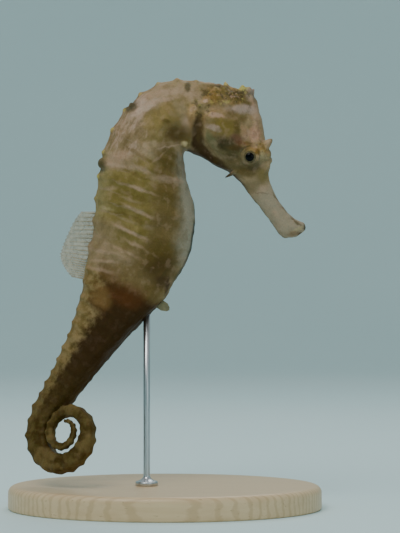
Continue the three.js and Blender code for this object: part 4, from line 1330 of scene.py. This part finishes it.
def lathe(profile, segments, material, name, centre=(0, 0), stretch=1.0):
    """A turned piece about a vertical axis; the profile runs from the bottom middle to the top."""
    turns = np.linspace(0, 2 * np.pi, segments, endpoint=False)
    profile = np.array(profile)
    places = np.stack([
        centre[0] + profile[:, None, 0] * np.cos(turns),
        centre[1] + stretch * profile[:, None, 0] * np.sin(turns),
        np.tile(profile[:, None, 1], (1, segments))], axis=2)
    return mesh_object(name, places.reshape(-1, 3), tube_faces(len(profile), segments), material)


def rounded_corner(radius, height, corner, upward, steps=8):
    """Profile points of a quarter round at the outer edge of a turned piece."""
    turns = np.linspace(0, np.pi / 2, steps)
    if upward:
        return [(radius - corner + corner * math.cos(t), height - corner + corner * math.sin(t))
                for t in turns]
    return [(radius - corner + corner * math.sin(t), height + corner - corner * math.cos(t))
            for t in turns]


def make_base(material):
    """Oval plate with a small round under its edge and a wide one on top."""
    half, top = BASE["length"] / 2, BASE["height"]
    profile = [(0.5, 0), (half * 0.6, 0)]
    profile += rounded_corner(half - 0.1, 0, BASE["low_round"], False)
    profile += [(half - 0.1, top - BASE["top_round"] - 0.4)]
    profile += rounded_corner(half - 0.1, top - 0.05, BASE["top_round"], True)
    profile += [(half * 0.9, top - 0.02), (half * 0.5, top), (0.5, top)]
    return lathe(profile, BASE_SEGMENTS, material, "display_base", stretch=BASE["width"] / BASE["length"])


def make_rod(material):
    """Thin rod that rises from a round foot with a hollow fillet, up into the animal."""
    low, foot, radius = BASE["height"], ROD["foot_radius"] - 0.03, ROD["radius"]
    top = low + ROD["foot_height"]
    profile = [(0.2, low), (foot - 0.12, low), (foot, low + 0.12), (foot, top - 0.4)]
    profile += rounded_corner(foot, top, ROD["foot_round"], True, 5)
    fillet = ROD["fillet_radius"] - radius
    for t in np.linspace(0, 1, 9):
        profile.append((radius + fillet * (1 - t) ** 2.2, top + 0.02 + t * ROD["fillet_height"]))
    profile += [(radius, 20), (radius, ROD["top"] - 2.5)]
    return lathe(profile, ROD_SEGMENTS, material, "display_rod", centre=(ROD["x"], ROD["y"]))


# ---- the model ------------------------------------------------------------------------------

FLESH = (["head", "coronet", "snout", "neck", "trunk_upper", "trunk_lower"]
         + [f"tail_{i}" for i in range(1, 9)])


def keep(piece, slot, *nodes):
    """A piece of the model: what it stands for and the body that it rides on; its finish, slot, is not
    used.
    """
    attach(piece, "root")
    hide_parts(*nodes)


keep(make_skin(skin_material()), "skin", *FLESH)
for side, side_name in ((1, "right"), (-1, "left")):
    keep(make_eye(side), "eye", f"eye_{side_name}")
dorsal_materials = (fin_material("fin_membrane", 0.45, tone(168, 152, 124), tone(196, 182, 156)),
                    fin_material("fin_ray", 0.8, tone(150, 134, 102), tone(172, 156, 124)))
keep(fin_piece("dorsal_fin_rays", median_fin_edge(DORSAL_FIN, -1), DORSAL_FIN["rays"],
               dorsal_materials), "fin", "dorsal_fin")
anal_materials = (fin_material("anal_membrane", 0.75, tone(112, 104, 62), tone(132, 122, 80)),
                  fin_material("anal_ray", 1.0, tone(92, 84, 48), tone(120, 110, 68)))
keep(fin_piece("anal_fin_rays", median_fin_edge(ANAL_FIN, 1), ANAL_FIN["rays"],
               anal_materials), "fin", "anal_fin")
clear_materials = (fin_material("clear_membrane", 0.015, tone(130, 108, 66), tone(150, 128, 84)),
                   fin_material("clear_ray", 0.06, tone(130, 108, 66), tone(156, 132, 88)))
for side, side_name in ((1, "right"), (-1, "left")):
    keep(fin_piece(f"pectoral_rays_{side_name}", pectoral_fin_edge(side), PECTORAL_FIN["rays"],
                   clear_materials), "fin", f"pectoral_fin_{side_name}")
keep(make_base(wood_material()), "base_wood", "stand_base")
keep(make_rod(steel_material()), "rod_steel", "stand_rod")


# ---- floor, light and camera ----------------------------------------------------------------

FLOOR_RADIUS = 560                   # the floor is flat up to here
WALL_RADIUS = 900
WALL_HEIGHT = 560
WALL_SEGMENTS = 96

# Soft round lamps: place, target, size, power, colour.
LAMPS = {"key": ((-120, -260, 420), (0, 0, 55), 300, 1.05, (1.0, 0.98, 0.95)),
         "fill": ((260, -380, 160), (0, 0, 50), 300, 0.18, (0.94, 0.98, 1.0)),
         "rim": ((60, 240, 360), (0, 0, 60), 220, 0.4, (0.92, 0.98, 1.0))}
SKY = (0.82, 0.91, 0.94, 1)
SKY_STRENGTH = 0.55

CAMERA = {"x": 7.35, "z": 50.8, "away": 420, "half_height": 55.96}
SENSOR = 36


def make_surround(material):
    """Floor and backdrop in one sheet: a wide bowl with a flat bottom and a high round wall."""
    corner = WALL_RADIUS - FLOOR_RADIUS
    profile = [(1, 0), (150, 0), (500, 0), (FLOOR_RADIUS, 0)]
    for turn in np.linspace(0, np.pi / 2, 16)[1:]:
        profile.append((FLOOR_RADIUS + corner * math.sin(turn), corner * (1 - math.cos(turn))))
    profile.append((WALL_RADIUS, WALL_HEIGHT))
    turns = np.linspace(0, 2 * np.pi, WALL_SEGMENTS, endpoint=False)
    places = [(r * math.cos(t), r * math.sin(t), z) for r, z in profile for t in turns]
    faces = grid_faces(len(profile), WALL_SEGMENTS)[:, ::-1].tolist()
    faces.append(list(range(WALL_SEGMENTS)))
    return mesh_object("surround", places, faces, material)


def add_lamp(name, place, target, size, power, colour):
    light = bpy.data.lights.new(name, "AREA")
    light.shape = "DISK"
    light.size = size * MM
    light.energy = power
    light.color = colour
    lamp = bpy.data.objects.new(name, light)
    lamp.location = Vector(place) * MM
    lamp.visible_camera = False
    direction = Vector(target) * MM - lamp.location
    lamp.rotation_mode = "QUATERNION"
    lamp.rotation_quaternion = direction.to_track_quat("-Z", "Y")
    bpy.context.scene.collection.objects.link(lamp)


def add_sky():
    world = bpy.data.worlds.new("studio")
    world.use_nodes = True
    background = world.node_tree.nodes["Background"]
    background.inputs["Color"].default_value = SKY
    background.inputs["Strength"].default_value = SKY_STRENGTH
    bpy.context.scene.world = world


def add_camera():
    data = bpy.data.cameras.new("camera")
    data.sensor_width = SENSOR
    data.lens = SENSOR / 2 * CAMERA["away"] / CAMERA["half_height"]
    data.clip_start, data.clip_end = 0.01, 10
    camera = bpy.data.objects.new("camera", data)
    camera.location = (CAMERA["x"] * MM, -CAMERA["away"] * MM, CAMERA["z"] * MM)
    camera.rotation_euler = (math.radians(90), 0, 0)
    bpy.context.scene.collection.objects.link(camera)
    bpy.context.scene.camera = camera


make_surround(floor_material())
for lamp_name, settings in LAMPS.items():
    add_lamp(lamp_name, *settings)
add_sky()
add_camera()

bpy.context.view_layer.update()
